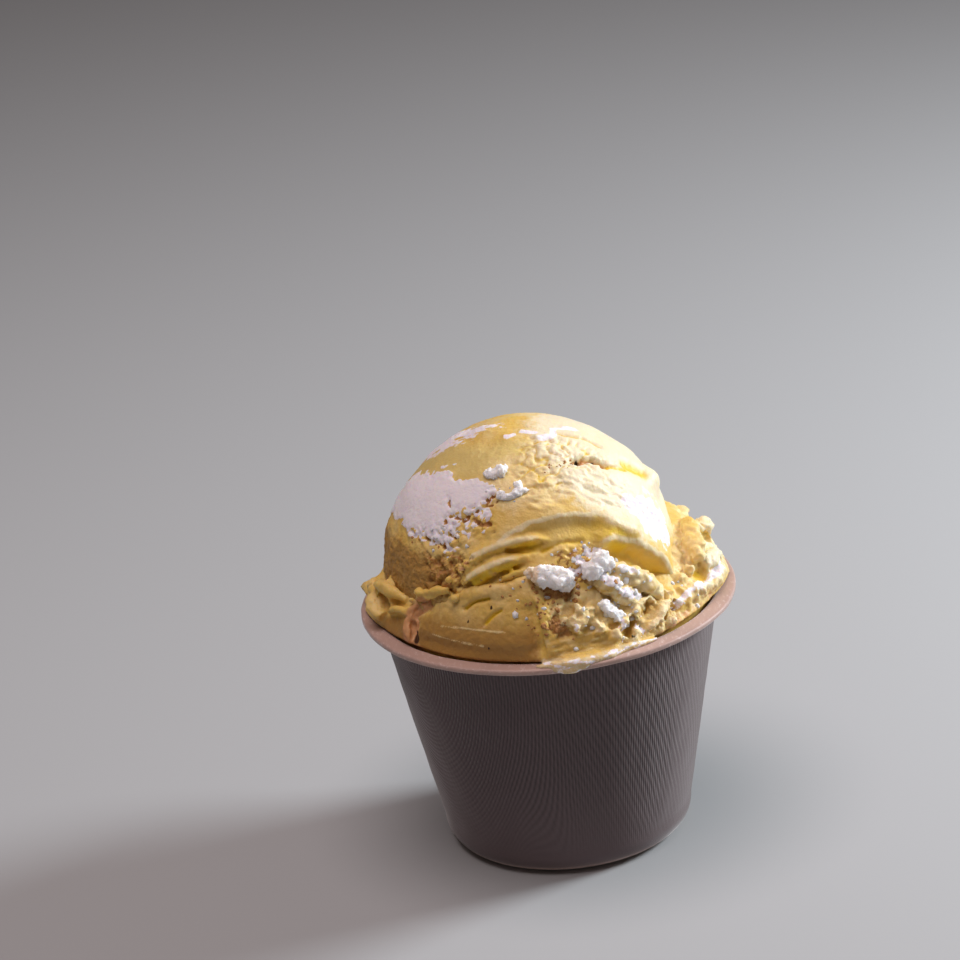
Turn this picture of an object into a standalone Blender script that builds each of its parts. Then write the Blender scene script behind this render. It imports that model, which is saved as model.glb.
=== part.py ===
"""Gelato cup: a moulded fibre cup heaped with two scoops of gelato and chunks of meringue."""
from math import copysign, cos, degrees, exp, radians, sin, sqrt

import bmesh
import bpy
import numpy as np
from mathutils import Vector, noise

# Driving dimensions in metres. The origin is on the table under the cup's centre, the front is -Y.
RIM_RADIUS = 0.0450
CUP_HEIGHT = 0.0612
WALL_TOP_RADIUS = 0.0408
WALL_BASE_RADIUS = 0.0302
BASE_FILLET = 0.0066
WALL_THICKNESS = 0.0010
LIP_THICKNESS = 0.0015
LIP_BEND = 0.0014
FOOT_INNER_RADIUS = 0.0180
FOOT_RECESS = 0.0007
FOOT_STEP = 0.0010
CUP_STEPS = 48
ARC_POINTS = 3

GAP = 0.0003
SOLVER = "MANIFOLD"  # every operand is closed, and many small lips cross each other
SHARP_ANGLE = 35
BALL_CENTRE = Vector((-0.0030, 0.0010, 0.0696))
BALL_RADIUS = 0.0348
BALL_TRIANGLES = 1850
BALL_SWAY = 0.0006
BALL_SWAY_SIZE = 0.0170
BALL_GRAIN = 0.0004
BALL_GRAIN_SIZE = 0.0062
BURIED = -0.0100  # height below the ball's middle where the lower gelato hides it
BURY_FADE = 0.0060
SEAT_HEIGHT = 0.0560  # the upper scoop is pressed flat here, inside the lower gelato

# Folds of the upper scoop. Each is a lip that arches over a hollow: where its middle is (longitude from
# the front and latitude, in degrees), how it is turned, its half length, the rise of its arch, how proud
# the lip is, how far it runs up the scoop behind the lip, and the depth and width of the hollow under it.
BALL_FOLDS = {
    "eyelid": dict(at=(18, 28), turn=-11, half=0.0200, arch=0.0058, proud=0.0024, back=0.0070,
                   hollow=0.0024, below=0.0052),
    "sheet": dict(at=(46, 16), turn=-26, half=0.0130, arch=0.0022, proud=0.0030, back=0.0056,
                  hollow=0.0026, below=0.0060),
    "sheet_side": dict(at=(70, -4), turn=-66, half=0.0105, arch=0.0012, proud=0.0026, back=0.0046,
                       hollow=0.0014, below=0.0036),
    "step": dict(at=(51, 1), turn=-41, half=0.0124, arch=0.0020, proud=0.0028, back=0.0034,
                 hollow=0.0012, below=0.0036),
    "ridge": dict(at=(37, 3), turn=-53, half=0.0112, arch=0.0008, proud=0.0034, back=0.0034,
                  hollow=0.0014, below=0.0030),
    "upper_rib": dict(at=(-11, 25), turn=16, half=0.0112, arch=0.0014, proud=0.0018, back=0.0034,
                      hollow=0.0012, below=0.0026),
    "lower_rib": dict(at=(-16, 18), turn=23, half=0.0085, arch=0.0010, proud=0.0018, back=0.0028,
                      hollow=0.0012, below=0.0026),
    "fissure": dict(at=(57, 55), turn=-40, half=0.0200, arch=-0.0022, proud=0.0011, back=0.0060,
                    hollow=0.0018, below=0.0018),
    "back_fold": dict(at=(178, 24), turn=8, half=0.0200, arch=0.0050, proud=0.0018, back=0.0060,
                      hollow=0.0018, below=0.0050),
    "back_rib": dict(at=(146, 6), turn=-14, half=0.0140, arch=0.0030, proud=0.0018, back=0.0044,
                     hollow=0.0012, below=0.0040),
}
FOLD_STATIONS = 8
FOLD_TIP = 0.1  # share of its size that a lip keeps at its two ends
FOLD_WAVE = 0.16
FOLD_STEP = 0.0005  # how far apart two points are taken to find which way the surface faces
# A fold's section from its back over the lip to its root: share of the back, share of the lip's height.
FOLD_SECTION = ((1.0, -0.30), (0.55, 0.48), (0.16, 0.92), (-0.05, 0.86), (-0.04, 0.40), (0.22, -0.55),
                (0.62, -0.95))
# Broad swellings (+) and dents (-) of the upper scoop: where, the height and the radius.
BALL_SWELLS = {
    "front": dict(at=(20, 8), height=0.0012, reach=0.0150),
    "lip_corner": dict(at=(86, 31), height=0.0024, reach=0.0040),
    "notch": dict(at=(84, 22), height=-0.0012, reach=0.0044),
    "back_dent": dict(at=(-150, 34), height=-0.0010, reach=0.0090),
}
CRAG_AT = (28, 2)
CRAG_REACH = 0.0170
CRAG_HEIGHT = 0.0016
CRAG_SIZE = 0.0050

# The lower gelato: how high it climbs the upper scoop, how far it swells over the rim and how far it
# stands back from the wall, by azimuth from the front in degrees, positive to the right.
HEAP_AZIMUTHS = (-180, -150, -125, -105, -88, -70, -45, -20, 0, 15, 30, 50, 70, 90, 110, 130, 155, 180)
HEAP_TOPS = (0.0720, 0.0705, 0.0700, 0.0710, 0.0730, 0.0745, 0.0770, 0.0810, 0.0810, 0.0780, 0.0740,
             0.0715, 0.0735, 0.0768, 0.0770, 0.0755, 0.0730, 0.0720)
HEAP_EDGES = (0.0414, 0.0412, 0.0420, 0.0434, 0.0440, 0.0416, 0.0404, 0.0410, 0.0422, 0.0424, 0.0414,
              0.0402, 0.0410, 0.0438, 0.0436, 0.0424, 0.0412, 0.0414)
HEAP_SLACKS = (0, 0, 0, 0, 0, 0.0009, 0.0010, 0.0006, 0, 0, 0, 0.0008, 0.0008, 0, 0, 0, 0, 0)
HEAP_NECK = 0.0300
HEAP_STEPS = 84
HEAP_ROWS = 10
HEAP_TRIANGLES = 1900
HEAP_SWAY = 0.0005
HEAP_SWAY_SIZE = 0.0150
HEAP_GRAIN = 0.0005
HEAP_GRAIN_SIZE = 0.0060
HEAP_CLEAR = 0.00045
HEAP_PLAIN_TOP = 0.0790
HEAP_PLAIN_EDGE = 0.0410
HEAP_GIRTH = 0.0380
HEAP_SLANT = 1.25
HEAP_CROWN_RADIUS = 0.0200
HEAP_CURVE = 0.85
HEAP_BELLY = 0.62
LOW_CLIMB = 0.06
SLACK_FLOOR = 0.0532  # below this height the gelato meets the wall all round
SLACK_FADE = 0.0060
HEAP_CALM = 0.0035  # height over the lip where the relief reaches its full depth
HEAP_CALM_SHARE = 0.2
NEAR = 0.00001

# Lips and clefts of the lower gelato: azimuth and height of the middle, then as for the upper folds.
HEAP_FOLDS = {
    "slab_edge": dict(at=(-4, 0.0690), turn=-84, half=0.0085, arch=0.0006, proud=0.0020, back=0.0050,
                      hollow=0.0014, below=0.0034),
    "slab_top": dict(at=(-26, 0.0760), turn=14, half=0.0120, arch=0.0012, proud=0.0012, back=-0.0044,
                     hollow=0.0010, below=0.0020),
    "left_cleft": dict(at=(-54, 0.0660), turn=98, half=0.0070, arch=0.0006, proud=0.0010, back=0.0050,
                       hollow=0.0024, below=0.0018),
    "left_petal": dict(at=(-76, 0.0690), turn=-30, half=0.0065, arch=0.0016, proud=0.0028, back=0.0026,
                       hollow=0.0012, below=0.0018),
    "left_petal_low": dict(at=(-80, 0.0655), turn=-20, half=0.0060, arch=0.0014, proud=0.0026,
                           back=0.0026, hollow=0.0012, below=0.0018),
    "left_bulb": dict(at=(-93, 0.0672), turn=-56, half=0.0060, arch=0.0014, proud=0.0024, back=0.0034,
                      hollow=0.0010, below=0.0018),
    "left_string": dict(at=(-52, 0.0735), turn=18, half=0.0080, arch=0.0004, proud=0.0020, back=0.0028,
                        hollow=0.0008, below=0.0018),
    "right_roll": dict(at=(76, 0.0680), turn=26, half=0.0110, arch=0.0020, proud=0.0032, back=0.0040,
                       hollow=0.0024, below=0.0028),
    "right_furrow": dict(at=(94, 0.0712), turn=-60, half=0.0062, arch=0.0008, proud=0.0016, back=0.0032,
                         hollow=0.0024, below=0.0028),
    "right_crest": dict(at=(116, 0.0700), turn=-28, half=0.0080, arch=0.0010, proud=0.0018, back=0.0034,
                        hollow=0.0020, below=0.0028),
    "crag_rib": dict(at=(30, 0.0665), turn=24, half=0.0085, arch=0.0012, proud=0.0022, back=0.0030,
                     hollow=0.0016, below=0.0024),
    "crag_rib_low": dict(at=(42, 0.0645), turn=16, half=0.0070, arch=0.0010, proud=0.0020, back=0.0026,
                         hollow=0.0012, below=0.0020),
    "back_wave": dict(at=(150, 0.0675), turn=12, half=0.0150, arch=0.0030, proud=0.0018, back=0.0050,
                      hollow=0.0014, below=0.0034),
    "back_left_wave": dict(at=(-140, 0.0665), turn=-8, half=0.0130, arch=0.0020, proud=0.0016,
                           back=0.0040, hollow=0.0012, below=0.0030),
}
HEAP_CRAG_AT = (27, 0.0690)
HEAP_CRAG_REACH = 0.0190
HEAP_CRAG_HEIGHT = 0.0026
HEAP_CRAG_SIZE = 0.0050

# The smear that runs over the lip at the front: azimuth and half width in degrees, radius, depth.
DRIP_AZIMUTH = 9.0
DRIP_HALF_WIDTH = 14.0
DRIP_RADIUS = 0.0461
DRIP_TOP = 0.0640
DRIP_BOTTOM = 0.0578
DRIP_OVERLAP = 0.0034
DRIP_WAVES = (0.78, 0.16, 0.06)
DRIP_TRIANGLES = 220

# Chunks of meringue: longitude and latitude on the upper scoop, how far the middle stands off its
# surface, the three half sizes (across, up, out), the turn and the seed.
CHUNKS = {
    "chunk_large": dict(at=(6, 15), out=0.0028, half=(0.0053, 0.0040, 0.0038), turn=-12, seed=3),
    "chunk_right": dict(at=(24, 16), out=0.0030, half=(0.0037, 0.0036, 0.0034), turn=20, seed=5),
    "chunk_slab": dict(at=(26, -1), out=0.0042, half=(0.0050, 0.0024, 0.0026), turn=-48, seed=8),
    "chunk_upper": dict(at=(-19, 57), out=0.0006, half=(0.0028, 0.0024, 0.0022), turn=10, seed=11),
    "chunk_lower": dict(at=(-7, 48), out=0.0006, half=(0.0036, 0.0024, 0.0022), turn=24, seed=13),
}
CHUNK_TRIANGLES = 150
CHUNK_LUMP = 0.17
CHUNK_LUMP_SIZE = 0.55
CHUNK_CORNERS = 0.10

GELATO_COLOUR = (0.83, 0.66, 0.30, 1.0)
MERINGUE_COLOUR = (0.87, 0.83, 0.84, 1.0)
FIBRE_COLOUR = (0.62, 0.46, 0.34, 1.0)


def clear_scene():
    for item in list(bpy.data.objects):
        bpy.data.objects.remove(item, do_unlink=True)


def material(name, colour, roughness):
    made = bpy.data.materials.new(name)
    made.use_nodes = True
    shader = made.node_tree.nodes["Principled BSDF"]
    shader.inputs["Base Color"].default_value = colour
    shader.inputs["Roughness"].default_value = roughness
    shader.inputs["Metallic"].default_value = 0.0
    return made


def new_collection(name):
    made = bpy.data.collections.new(name)
    bpy.context.scene.collection.children.link(made)
    return made


def add_object(name, mesh, collection):
    made = bpy.data.objects.new(name, mesh)
    collection.objects.link(made)
    return made


def add_material(owner, surface):
    owner.data.materials.clear()
    owner.data.materials.append(surface)
    owner.data.shade_smooth()
    owner.data.set_sharp_from_angle(angle=radians(SHARP_ANGLE))


def applied(owner):
    """The object's mesh with its modifiers applied."""
    bpy.context.view_layer.update()
    graph = bpy.context.evaluated_depsgraph_get()
    mesh = bpy.data.meshes.new_from_object(owner.evaluated_get(graph))
    owner.modifiers.clear()
    owner.data = mesh
    return mesh


def read_points(mesh):
    points = np.empty(len(mesh.vertices) * 3)
    mesh.vertices.foreach_get("co", points)
    return points.reshape(-1, 3)


def write_points(mesh, points):
    mesh.vertices.foreach_set("co", points.astype(np.float32).ravel())
    mesh.update()


def bent(start, corner, end, count=ARC_POINTS):
    """Points of a curve from start to end that is pulled towards the corner."""
    points = []
    for step in range(count + 1):
        t = step / count
        points.append(tuple(a * (1 - t) ** 2 + 2 * b * t * (1 - t) + c * t * t
                            for a, b, c in zip(start, corner, end)))
    return points


def turned(name, profile, steps, collection):
    """A solid turned from a profile of (radius, height) points that runs down its outer side."""
    mesh = bpy.data.meshes.new(name)
    mesh.from_pydata([(r, 0, z) for r, z in profile], [(i, i + 1) for i in range(len(profile) - 1)], [])
    made = add_object(name, mesh, collection)
    screw = made.modifiers.new("turn", "SCREW")
    screw.steps = screw.render_steps = steps
    screw.use_merge_vertices = True
    screw.merge_threshold = 0.00002
    applied(made)
    return made


def wall_radius(height, inset=0.0):
    """The cup wall's outer radius at a height, less an inset across the wall."""
    slope = (WALL_TOP_RADIUS - WALL_BASE_RADIUS) / (CUP_HEIGHT - LIP_THICKNESS - BASE_FILLET)
    return WALL_BASE_RADIUS + slope * (height - BASE_FILLET) - inset * sqrt(1 + slope * slope)


def cup_profile(grow=0.0):
    """The cup's section, from the middle of the floor over the lip and down to the foot."""
    inner = WALL_THICKNESS + grow
    under_lip = CUP_HEIGHT - LIP_THICKNESS - grow
    top = CUP_HEIGHT + grow
    floor = WALL_THICKNESS + FOOT_RECESS + grow
    rim = RIM_RADIUS + grow
    edge = (LIP_THICKNESS + 2 * grow) / 2
    corner = WALL_BASE_RADIUS - BASE_FILLET
    rise = BASE_FILLET - floor
    points = [(0, floor), (corner * 0.6, floor)]
    points += bent((wall_radius(floor, inner) - rise, floor), (wall_radius(floor, inner), floor),
                   (wall_radius(BASE_FILLET + 0.001, inner), BASE_FILLET + 0.001))
    low_bend = top - LIP_BEND * 1.8
    points += bent((wall_radius(low_bend, inner), low_bend), (wall_radius(top, inner), top - 0.0001),
                   (wall_radius(top, inner) + LIP_BEND, top))
    points += bent((rim - edge, top), (rim, top), (rim, top - edge), 3)
    points += bent((rim, top - edge), (rim, under_lip), (rim - edge, under_lip), 3)[1:]
    low_bend = under_lip - LIP_BEND
    points += bent((wall_radius(under_lip, -grow) + LIP_BEND, under_lip),
                   (wall_radius(under_lip, -grow), under_lip),
                   (wall_radius(low_bend, -grow), low_bend), 4)
    outer = WALL_BASE_RADIUS + grow
    points += bent((outer, BASE_FILLET), (outer, -grow), (corner, -grow), 6)
    foot = FOOT_RECESS - grow
    points += [(FOOT_INNER_RADIUS + FOOT_STEP, -grow), (FOOT_INNER_RADIUS, foot), (0, foot)]
    return points


def direction(longitude, latitude):
    lon, lat = radians(longitude), radians(latitude)
    return np.array((sin(lon) * cos(lat), -cos(lon) * cos(lat), sin(lat)))


def lump(points, size, seed):
    """Smooth noise from about -1 to 1 at each point."""
    offset = Vector((seed * 7.31, seed * 3.17, seed * 5.71))
    return np.array([noise.noise(Vector(point) / size + offset) for point in points])


def fade(value):
    value = np.clip(value, 0, 1)
    return value * value * (3 - 2 * value)


def hollow_depth(u, v, fold):
    """Depth of the hollow under a fold's lip, where u runs along the lip and v across it."""
    under = v - fold["arch"] * (1 - (u / fold["half"]) ** 2) + copysign(fold["below"], fold["back"]) / 2
    ends = fade(2.2 * (1 - np.abs(u) / fold["half"]))
    return fold["hollow"] * ends * np.exp(-((under / fold["below"] * 1.6) ** 2))


def turned_axes(fold, east, north):
    turn = radians(fold["turn"])
    return east * cos(turn) + north * sin(turn), north * cos(turn) - east * sin(turn)


def ball_axes(fold):
    """The outward direction at the middle of a fold of the upper scoop, and its two turned axes."""
    out = direction(*fold["at"])
    east = np.cross((0, 0, 1), out)
    east /= np.linalg.norm(east)
    return (out,) + turned_axes(fold, east, np.cross(out, east))


def ball_relief(unit):
    """How far the upper scoop's surface stands off its sphere, by direction from its centre."""
    surface = unit * BALL_RADIUS
    height = BALL_SWAY * lump(surface, BALL_SWAY_SIZE, 1) + BALL_GRAIN * lump(surface, BALL_GRAIN_SIZE, 2)
    for fold in BALL_FOLDS.values():
        out, along, across = ball_axes(fold)
        facing = fade(3 * (unit @ out) - 0.6)
        height -= facing * hollow_depth(surface @ along, surface @ across, fold)
    for swell in BALL_SWELLS.values():
        away = np.linalg.norm(surface - direction(*swell["at"]) * BALL_RADIUS, axis=1)
        height += swell["height"] * np.exp(-((away / swell["reach"]) ** 2))
    away = np.linalg.norm(surface - direction(*CRAG_AT) * BALL_RADIUS, axis=1)
    crags = np.abs(lump(surface, CRAG_SIZE, 4)) * 2 - 0.5
    height += CRAG_HEIGHT * crags * fade(1.6 * (1 - away / CRAG_REACH))
    return height * fade((unit[:, 2] * BALL_RADIUS - BURIED) / BURY_FADE)


def ball_point(fold):
    """A function from a fold's own coordinates to a point of the upper scoop's sphere."""
    out, along, across = ball_axes(fold)

    def place(u, v):
        unit = out * BALL_RADIUS + along * u + across * v
        return np.array(BALL_CENTRE) + unit / np.linalg.norm(unit) * BALL_RADIUS
    return place


def moved_out(mesh, distance):
    """Move every point of a mesh along its normal."""
    normals = np.empty(len(mesh.vertices) * 3)
    mesh.vertices.foreach_get("normal", normals)
    write_points(mesh, read_points(mesh) + normals.reshape(-1, 3) * distance)


def round_mesh(name, subdivisions):
    """An icosphere of radius 1 as a mesh, and its points."""
    shape = bmesh.new()
    bmesh.ops.create_icosphere(shape, subdivisions=subdivisions, radius=1.0)
    mesh = bpy.data.meshes.new(name)
    shape.to_mesh(mesh)
    shape.free()
    unit = read_points(mesh)
    return mesh, unit / np.linalg.norm(unit, axis=1)[:, None]


def make_fold(name, fold, place, collection):
    """A closed lip that follows the surface given by place and fades at both ends."""
    shape = bmesh.new()
    rings = []
    for station in range(FOLD_STATIONS):
        u = fold["half"] * (2 * station / (FOLD_STATIONS - 1) - 1)
        share = FOLD_TIP + (1 - FOLD_TIP) * sqrt(max(1 - (u / fold["half"]) ** 2, 0.0))
        wave = 1 + FOLD_WAVE * sin(station * 1.9 + len(name))
        crest = fold["arch"] * (1 - (u / fold["half"]) ** 2)
        middle = place(u, crest)
        normal = np.cross(place(u + FOLD_STEP, crest) - middle, place(u, crest + FOLD_STEP) - middle)
        normal /= np.linalg.norm(normal)
        ring = []
        for back, height in FOLD_SECTION:
            point = place(u, crest + back * fold["back"] * share)
            ring.append(shape.verts.new(point + normal * height * fold["proud"] * share * wave))
        rings.append(ring)
    for ring, after in zip(rings, rings[1:]):
        for side in range(len(ring)):
            following = (side + 1) % len(ring)
            shape.faces.new((ring[side], ring[following], after[following], after[side]))
    shape.faces.new(rings[0])
    shape.faces.new(rings[-1])
    bmesh.ops.recalc_face_normals(shape, faces=shape.faces)
    bmesh.ops.triangulate(shape, faces=shape.faces)
    mesh = bpy.data.meshes.new(name)
    shape.to_mesh(mesh)
    shape.free()
    return add_object(name, mesh, collection)


def fuse_folds(owner, folds, place_of, cutters=None):
    """Join the folds to the scoop that carries them by one union, and leave cutters of all of them."""
    group = new_collection(owner.name + "_folds")
    for name, fold in folds.items():
        make_fold(name, fold, place_of(fold), group)
    if cutters:
        grown_copies([owner] + list(group.objects), cutters)
    combine_all(owner, group, "UNION")


def fewer_faces(owner, count):
    change = owner.modifiers.new("fewer", "DECIMATE")
    change.ratio = min(count / sum(len(face.vertices) - 2 for face in owner.data.polygons), 1.0)
    applied(owner)


def make_upper_scoop(collection, surface, cutters):
    mesh, unit = round_mesh("upper_scoop", 6)
    points = unit * (BALL_RADIUS + ball_relief(unit))[:, None] + np.array(BALL_CENTRE)
    points[:, 2] = np.maximum(points[:, 2], SEAT_HEIGHT)
    write_points(mesh, points)
    made = add_object("upper_scoop", mesh, collection)
    fewer_faces(made, BALL_TRIANGLES)
    fuse_folds(made, BALL_FOLDS, ball_point, cutters)
    add_material(made, surface)
    return made


def by_azimuth(azimuth, values):
    return np.interp(azimuth, HEAP_AZIMUTHS, values)


def heap_surface(azimuth, share):
    """A point of the lower gelato's bulge, where share runs from its neck (0) to its edge (1)."""
    top, edge = by_azimuth(azimuth, HEAP_TOPS), by_azimuth(azimuth, HEAP_EDGES)
    foot = CUP_HEIGHT + HEAP_CLEAR
    radius = HEAP_NECK + (edge - HEAP_NECK) * share ** HEAP_BELLY
    height = foot + (top - foot) * (1 - share) ** HEAP_CURVE
    angle = np.radians(azimuth)
    return np.stack([radius * np.sin(angle), -radius * np.cos(angle), height], -1)


def heap_point(fold):
    """A function from a fold's own coordinates to a point of the lower gelato's bulge."""
    along, across = turned_axes(fold, np.array((1.0, 0.0)), np.array((0.0, 1.0)))

    def place(u, v):
        side, up = along * u + across * v
        azimuth = fold["at"][0] + degrees(side / HEAP_GIRTH)
        tall = by_azimuth(azimuth, HEAP_TOPS) - CUP_HEIGHT - HEAP_CLEAR
        climb = (fold["at"][1] + up / HEAP_SLANT - CUP_HEIGHT - HEAP_CLEAR) / tall
        if climb < LOW_CLIMB:
            climb = LOW_CLIMB * exp(climb / LOW_CLIMB - 1)
        point = heap_surface(azimuth, 1 - min(climb, 1.0) ** (1 / HEAP_CURVE))
        over = max(climb - 1, 0.0) * tall
        angle = radians(azimuth)
        return point + np.array((-sin(angle) * over * 0.5, cos(angle) * over * 0.5, over * 0.6))
    return place


def heap_relief(points, azimuth):
    """How far the lower gelato's surface stands off its plain bulge."""
    height = HEAP_GRAIN * lump(points, HEAP_GRAIN_SIZE, 21) + HEAP_SWAY * lump(points, HEAP_SWAY_SIZE, 22)
    for fold in HEAP_FOLDS.values():
        away = (azimuth - fold["at"][0] + 180) % 360 - 180
        side = np.radians(away) * HEAP_GIRTH
        up = (points[:, 2] - fold["at"][1]) * HEAP_SLANT
        along, across = turned_axes(fold, np.array((1.0, 0.0)), np.array((0.0, 1.0)))
        place = np.stack([side, up], 1)
        height -= hollow_depth(place @ along, place @ across, fold)
    side = np.radians(azimuth - HEAP_CRAG_AT[0]) * HEAP_GIRTH
    away = np.hypot(side, points[:, 2] - HEAP_CRAG_AT[1])
    crags = np.abs(lump(points, HEAP_CRAG_SIZE, 24)) * 2 - 0.5
    return height + HEAP_CRAG_HEIGHT * crags * fade(1.6 * (1 - away / HEAP_CRAG_REACH))


def heap_profile():
    """The lower gelato's plain section, from the middle of its top down to its floor."""
    inner = WALL_THICKNESS + HEAP_CLEAR
    top = CUP_HEIGHT + HEAP_CLEAR
    floor = WALL_THICKNESS + FOOT_RECESS + HEAP_CLEAR
    shares = [row / HEAP_ROWS for row in range(HEAP_ROWS + 1)]
    bulge = [(HEAP_NECK + (HEAP_PLAIN_EDGE - HEAP_NECK) * share,
              HEAP_PLAIN_TOP + (top - HEAP_PLAIN_TOP) * share) for share in shares]
    low_bend = top - LIP_BEND * 1.8
    lip = bent((wall_radius(top, inner) + LIP_BEND, top), (wall_radius(top, inner), top - 0.0001),
               (wall_radius(low_bend, inner), low_bend), 3)
    corner = wall_radius(floor, inner)
    rise = BASE_FILLET - floor
    side = [(wall_radius(SLACK_FLOOR, inner), SLACK_FLOOR)]
    foot = bent((wall_radius(BASE_FILLET + 0.002, inner), BASE_FILLET + 0.002), (corner, floor),
                (corner - rise - 0.001, floor), 4)
    return [(0, HEAP_PLAIN_TOP), (HEAP_CROWN_RADIUS, HEAP_PLAIN_TOP)] + bulge + lip + side + foot + [(0, floor)]


def make_lower_scoop(collection, surface):
    made = turned("lower_scoop", heap_profile(), HEAP_STEPS, collection)
    mesh = made.data
    points = read_points(mesh)
    radius = np.hypot(points[:, 0], points[:, 1])
    azimuth = np.degrees(np.arctan2(points[:, 0], -points[:, 1]))
    foot = CUP_HEIGHT + HEAP_CLEAR
    above = points[:, 2] > foot + NEAR
    bulge = above & (radius > HEAP_NECK - NEAR)
    crown = above & ~bulge
    edge = (np.abs(points[:, 2] - foot) < NEAR) & (radius > HEAP_PLAIN_EDGE - NEAR)
    share = np.clip((HEAP_PLAIN_TOP - points[:, 2]) / (HEAP_PLAIN_TOP - foot), 0, 1)
    points[bulge | edge] = heap_surface(azimuth, share)[bulge | edge]
    points[crown, 2] = by_azimuth(azimuth[crown], HEAP_TOPS)
    low = ~above & (points[:, 2] > SLACK_FLOOR + NEAR)
    slack = by_azimuth(azimuth, HEAP_SLACKS) * fade((points[:, 2] - SLACK_FLOOR) / SLACK_FADE)
    inward = 1 - np.where(low, slack, 0) / np.maximum(radius, NEAR)
    points[:, :2] *= inward[:, None]
    write_points(mesh, points)
    normals = np.empty(len(mesh.vertices) * 3)
    mesh.vertices.foreach_get("normal", normals)
    calm = HEAP_CALM_SHARE + (1 - HEAP_CALM_SHARE) * fade((points[:, 2] - foot) / HEAP_CALM)
    rise = heap_relief(points, azimuth) * calm
    points[bulge] += (normals.reshape(-1, 3) * rise[:, None])[bulge]
    write_points(mesh, points)
    fewer_faces(made, HEAP_TRIANGLES)
    fuse_folds(made, HEAP_FOLDS, heap_point)
    add_material(made, surface)
    return made


def make_drip(collection, lip):
    """The smear over the lip, hollowed where the lip passes under it."""
    mesh, unit = round_mesh("drip", 4)
    azimuth = np.radians(DRIP_AZIMUTH + unit[:, 0] * DRIP_HALF_WIDTH)
    mean, broad, fine = DRIP_WAVES
    waves = mean + broad * np.cos(unit[:, 0] * 5.0 + 0.8) + fine * np.sin(unit[:, 0] * 13)
    inner = WALL_TOP_RADIUS - DRIP_OVERLAP
    radius = (DRIP_RADIUS + inner) / 2 + unit[:, 1] * (DRIP_RADIUS - inner) / 2 * waves * 1.1
    radius = np.minimum(radius, DRIP_RADIUS)
    height = (DRIP_TOP + DRIP_BOTTOM) / 2 + unit[:, 2] * (DRIP_TOP - DRIP_BOTTOM) / 2 * waves
    write_points(mesh, np.stack([radius * np.sin(azimuth), -radius * np.cos(azimuth), height], 1))
    shape = bmesh.new()
    shape.from_mesh(mesh)
    bmesh.ops.recalc_face_normals(shape, faces=shape.faces)
    shape.to_mesh(mesh)
    shape.free()
    drip = add_object("drip", mesh, collection)
    fewer_faces(drip, DRIP_TRIANGLES)
    combine(drip, lip, "DIFFERENCE")
    keep_largest(drip)
    return drip


def combine(owner, tool, operation):
    """Apply a Boolean of the tool to the owner and remove the tool."""
    change = owner.modifiers.new("combine", "BOOLEAN")
    change.operation = operation
    change.solver = SOLVER
    change.object = tool
    applied(owner)
    bpy.data.objects.remove(tool, do_unlink=True)


def combine_all(owner, group, operation):
    """Apply one Boolean of a whole collection to the owner and remove the collection."""
    change = owner.modifiers.new("combine", "BOOLEAN")
    change.operation = operation
    change.solver = SOLVER
    change.operand_type = "COLLECTION"
    change.collection = group
    applied(owner)
    for item in list(group.objects):
        bpy.data.objects.remove(item, do_unlink=True)
    bpy.data.collections.remove(group)


def grown_copies(solids, group):
    """Copies of solids, each grown by the gap that touching pieces keep, as cutters in a collection."""
    for solid in solids:
        mesh = solid.data.copy()
        moved_out(mesh, GAP)
        tool = add_object(solid.name + "_cutter", mesh, group)
        tool.hide_render = True
        tool.display_type = "WIRE"


def make_chunk(name, chunk, collection, surface):
    mesh, unit = round_mesh(name, 3)
    lumps = 1 + CHUNK_LUMP * 2 * lump(unit, CHUNK_LUMP_SIZE, chunk["seed"])
    boxy = 1 + CHUNK_CORNERS * np.abs(unit).max(axis=1)
    local = unit * (lumps * boxy)[:, None] * np.array(chunk["half"])
    out, across, up = ball_axes(chunk)
    middle = np.array(BALL_CENTRE) + out * (BALL_RADIUS + chunk["out"])
    write_points(mesh, local @ np.stack([across, up, out]) + middle)
    made = add_object(name, mesh, collection)
    fewer_faces(made, CHUNK_TRIANGLES)
    add_material(made, surface)
    return made


def keep_largest(owner):
    """Drop the loose scraps that a cut leaves."""
    shape = bmesh.new()
    shape.from_mesh(owner.data)
    left = set(shape.verts)
    groups = []
    while left:
        group, edge = set(), [left.pop()]
        while edge:
            vertex = edge.pop()
            group.add(vertex)
            for link in vertex.link_edges:
                other = link.other_vert(vertex)
                if other in left:
                    left.remove(other)
                    edge.append(other)
        groups.append(group)
    groups.sort(key=len)
    for group in groups[:-1]:
        bmesh.ops.delete(shape, geom=list(group), context="VERTS")
    bmesh.ops.triangulate(shape, faces=shape.faces)
    shape.to_mesh(owner.data)
    shape.free()


def main():
    clear_scene()
    parts = new_collection("gelato_cup")
    cutters = new_collection("cutters")
    fibre = material("fibre", FIBRE_COLOUR, 0.85)
    gelato = material("gelato", GELATO_COLOUR, 0.45)
    meringue = material("meringue", MERINGUE_COLOUR, 0.60)

    cup = turned("cup", cup_profile(), CUP_STEPS, parts)
    add_material(cup, fibre)
    scoop_cutters = new_collection("scoop_cutters")
    upper = make_upper_scoop(parts, gelato, scoop_cutters)
    lower = make_lower_scoop(parts, gelato)
    lip = turned("lip_cutter", cup_profile(GAP), CUP_STEPS, cutters)
    combine(lower, make_drip(cutters, lip), "UNION")
    chunks = [make_chunk(name, chunk, parts, meringue) for name, chunk in CHUNKS.items()]
    chunk_cutters = new_collection("chunk_cutters")
    grown_copies(chunks, chunk_cutters)
    grown_copies(chunks, scoop_cutters)
    combine_all(upper, chunk_cutters, "DIFFERENCE")
    combine_all(lower, scoop_cutters, "DIFFERENCE")
    for owner in (upper, lower):
        keep_largest(owner)
    for owner in parts.objects:
        print(owner.name, sum(len(face.vertices) - 2 for face in owner.data.polygons))


main()
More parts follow.
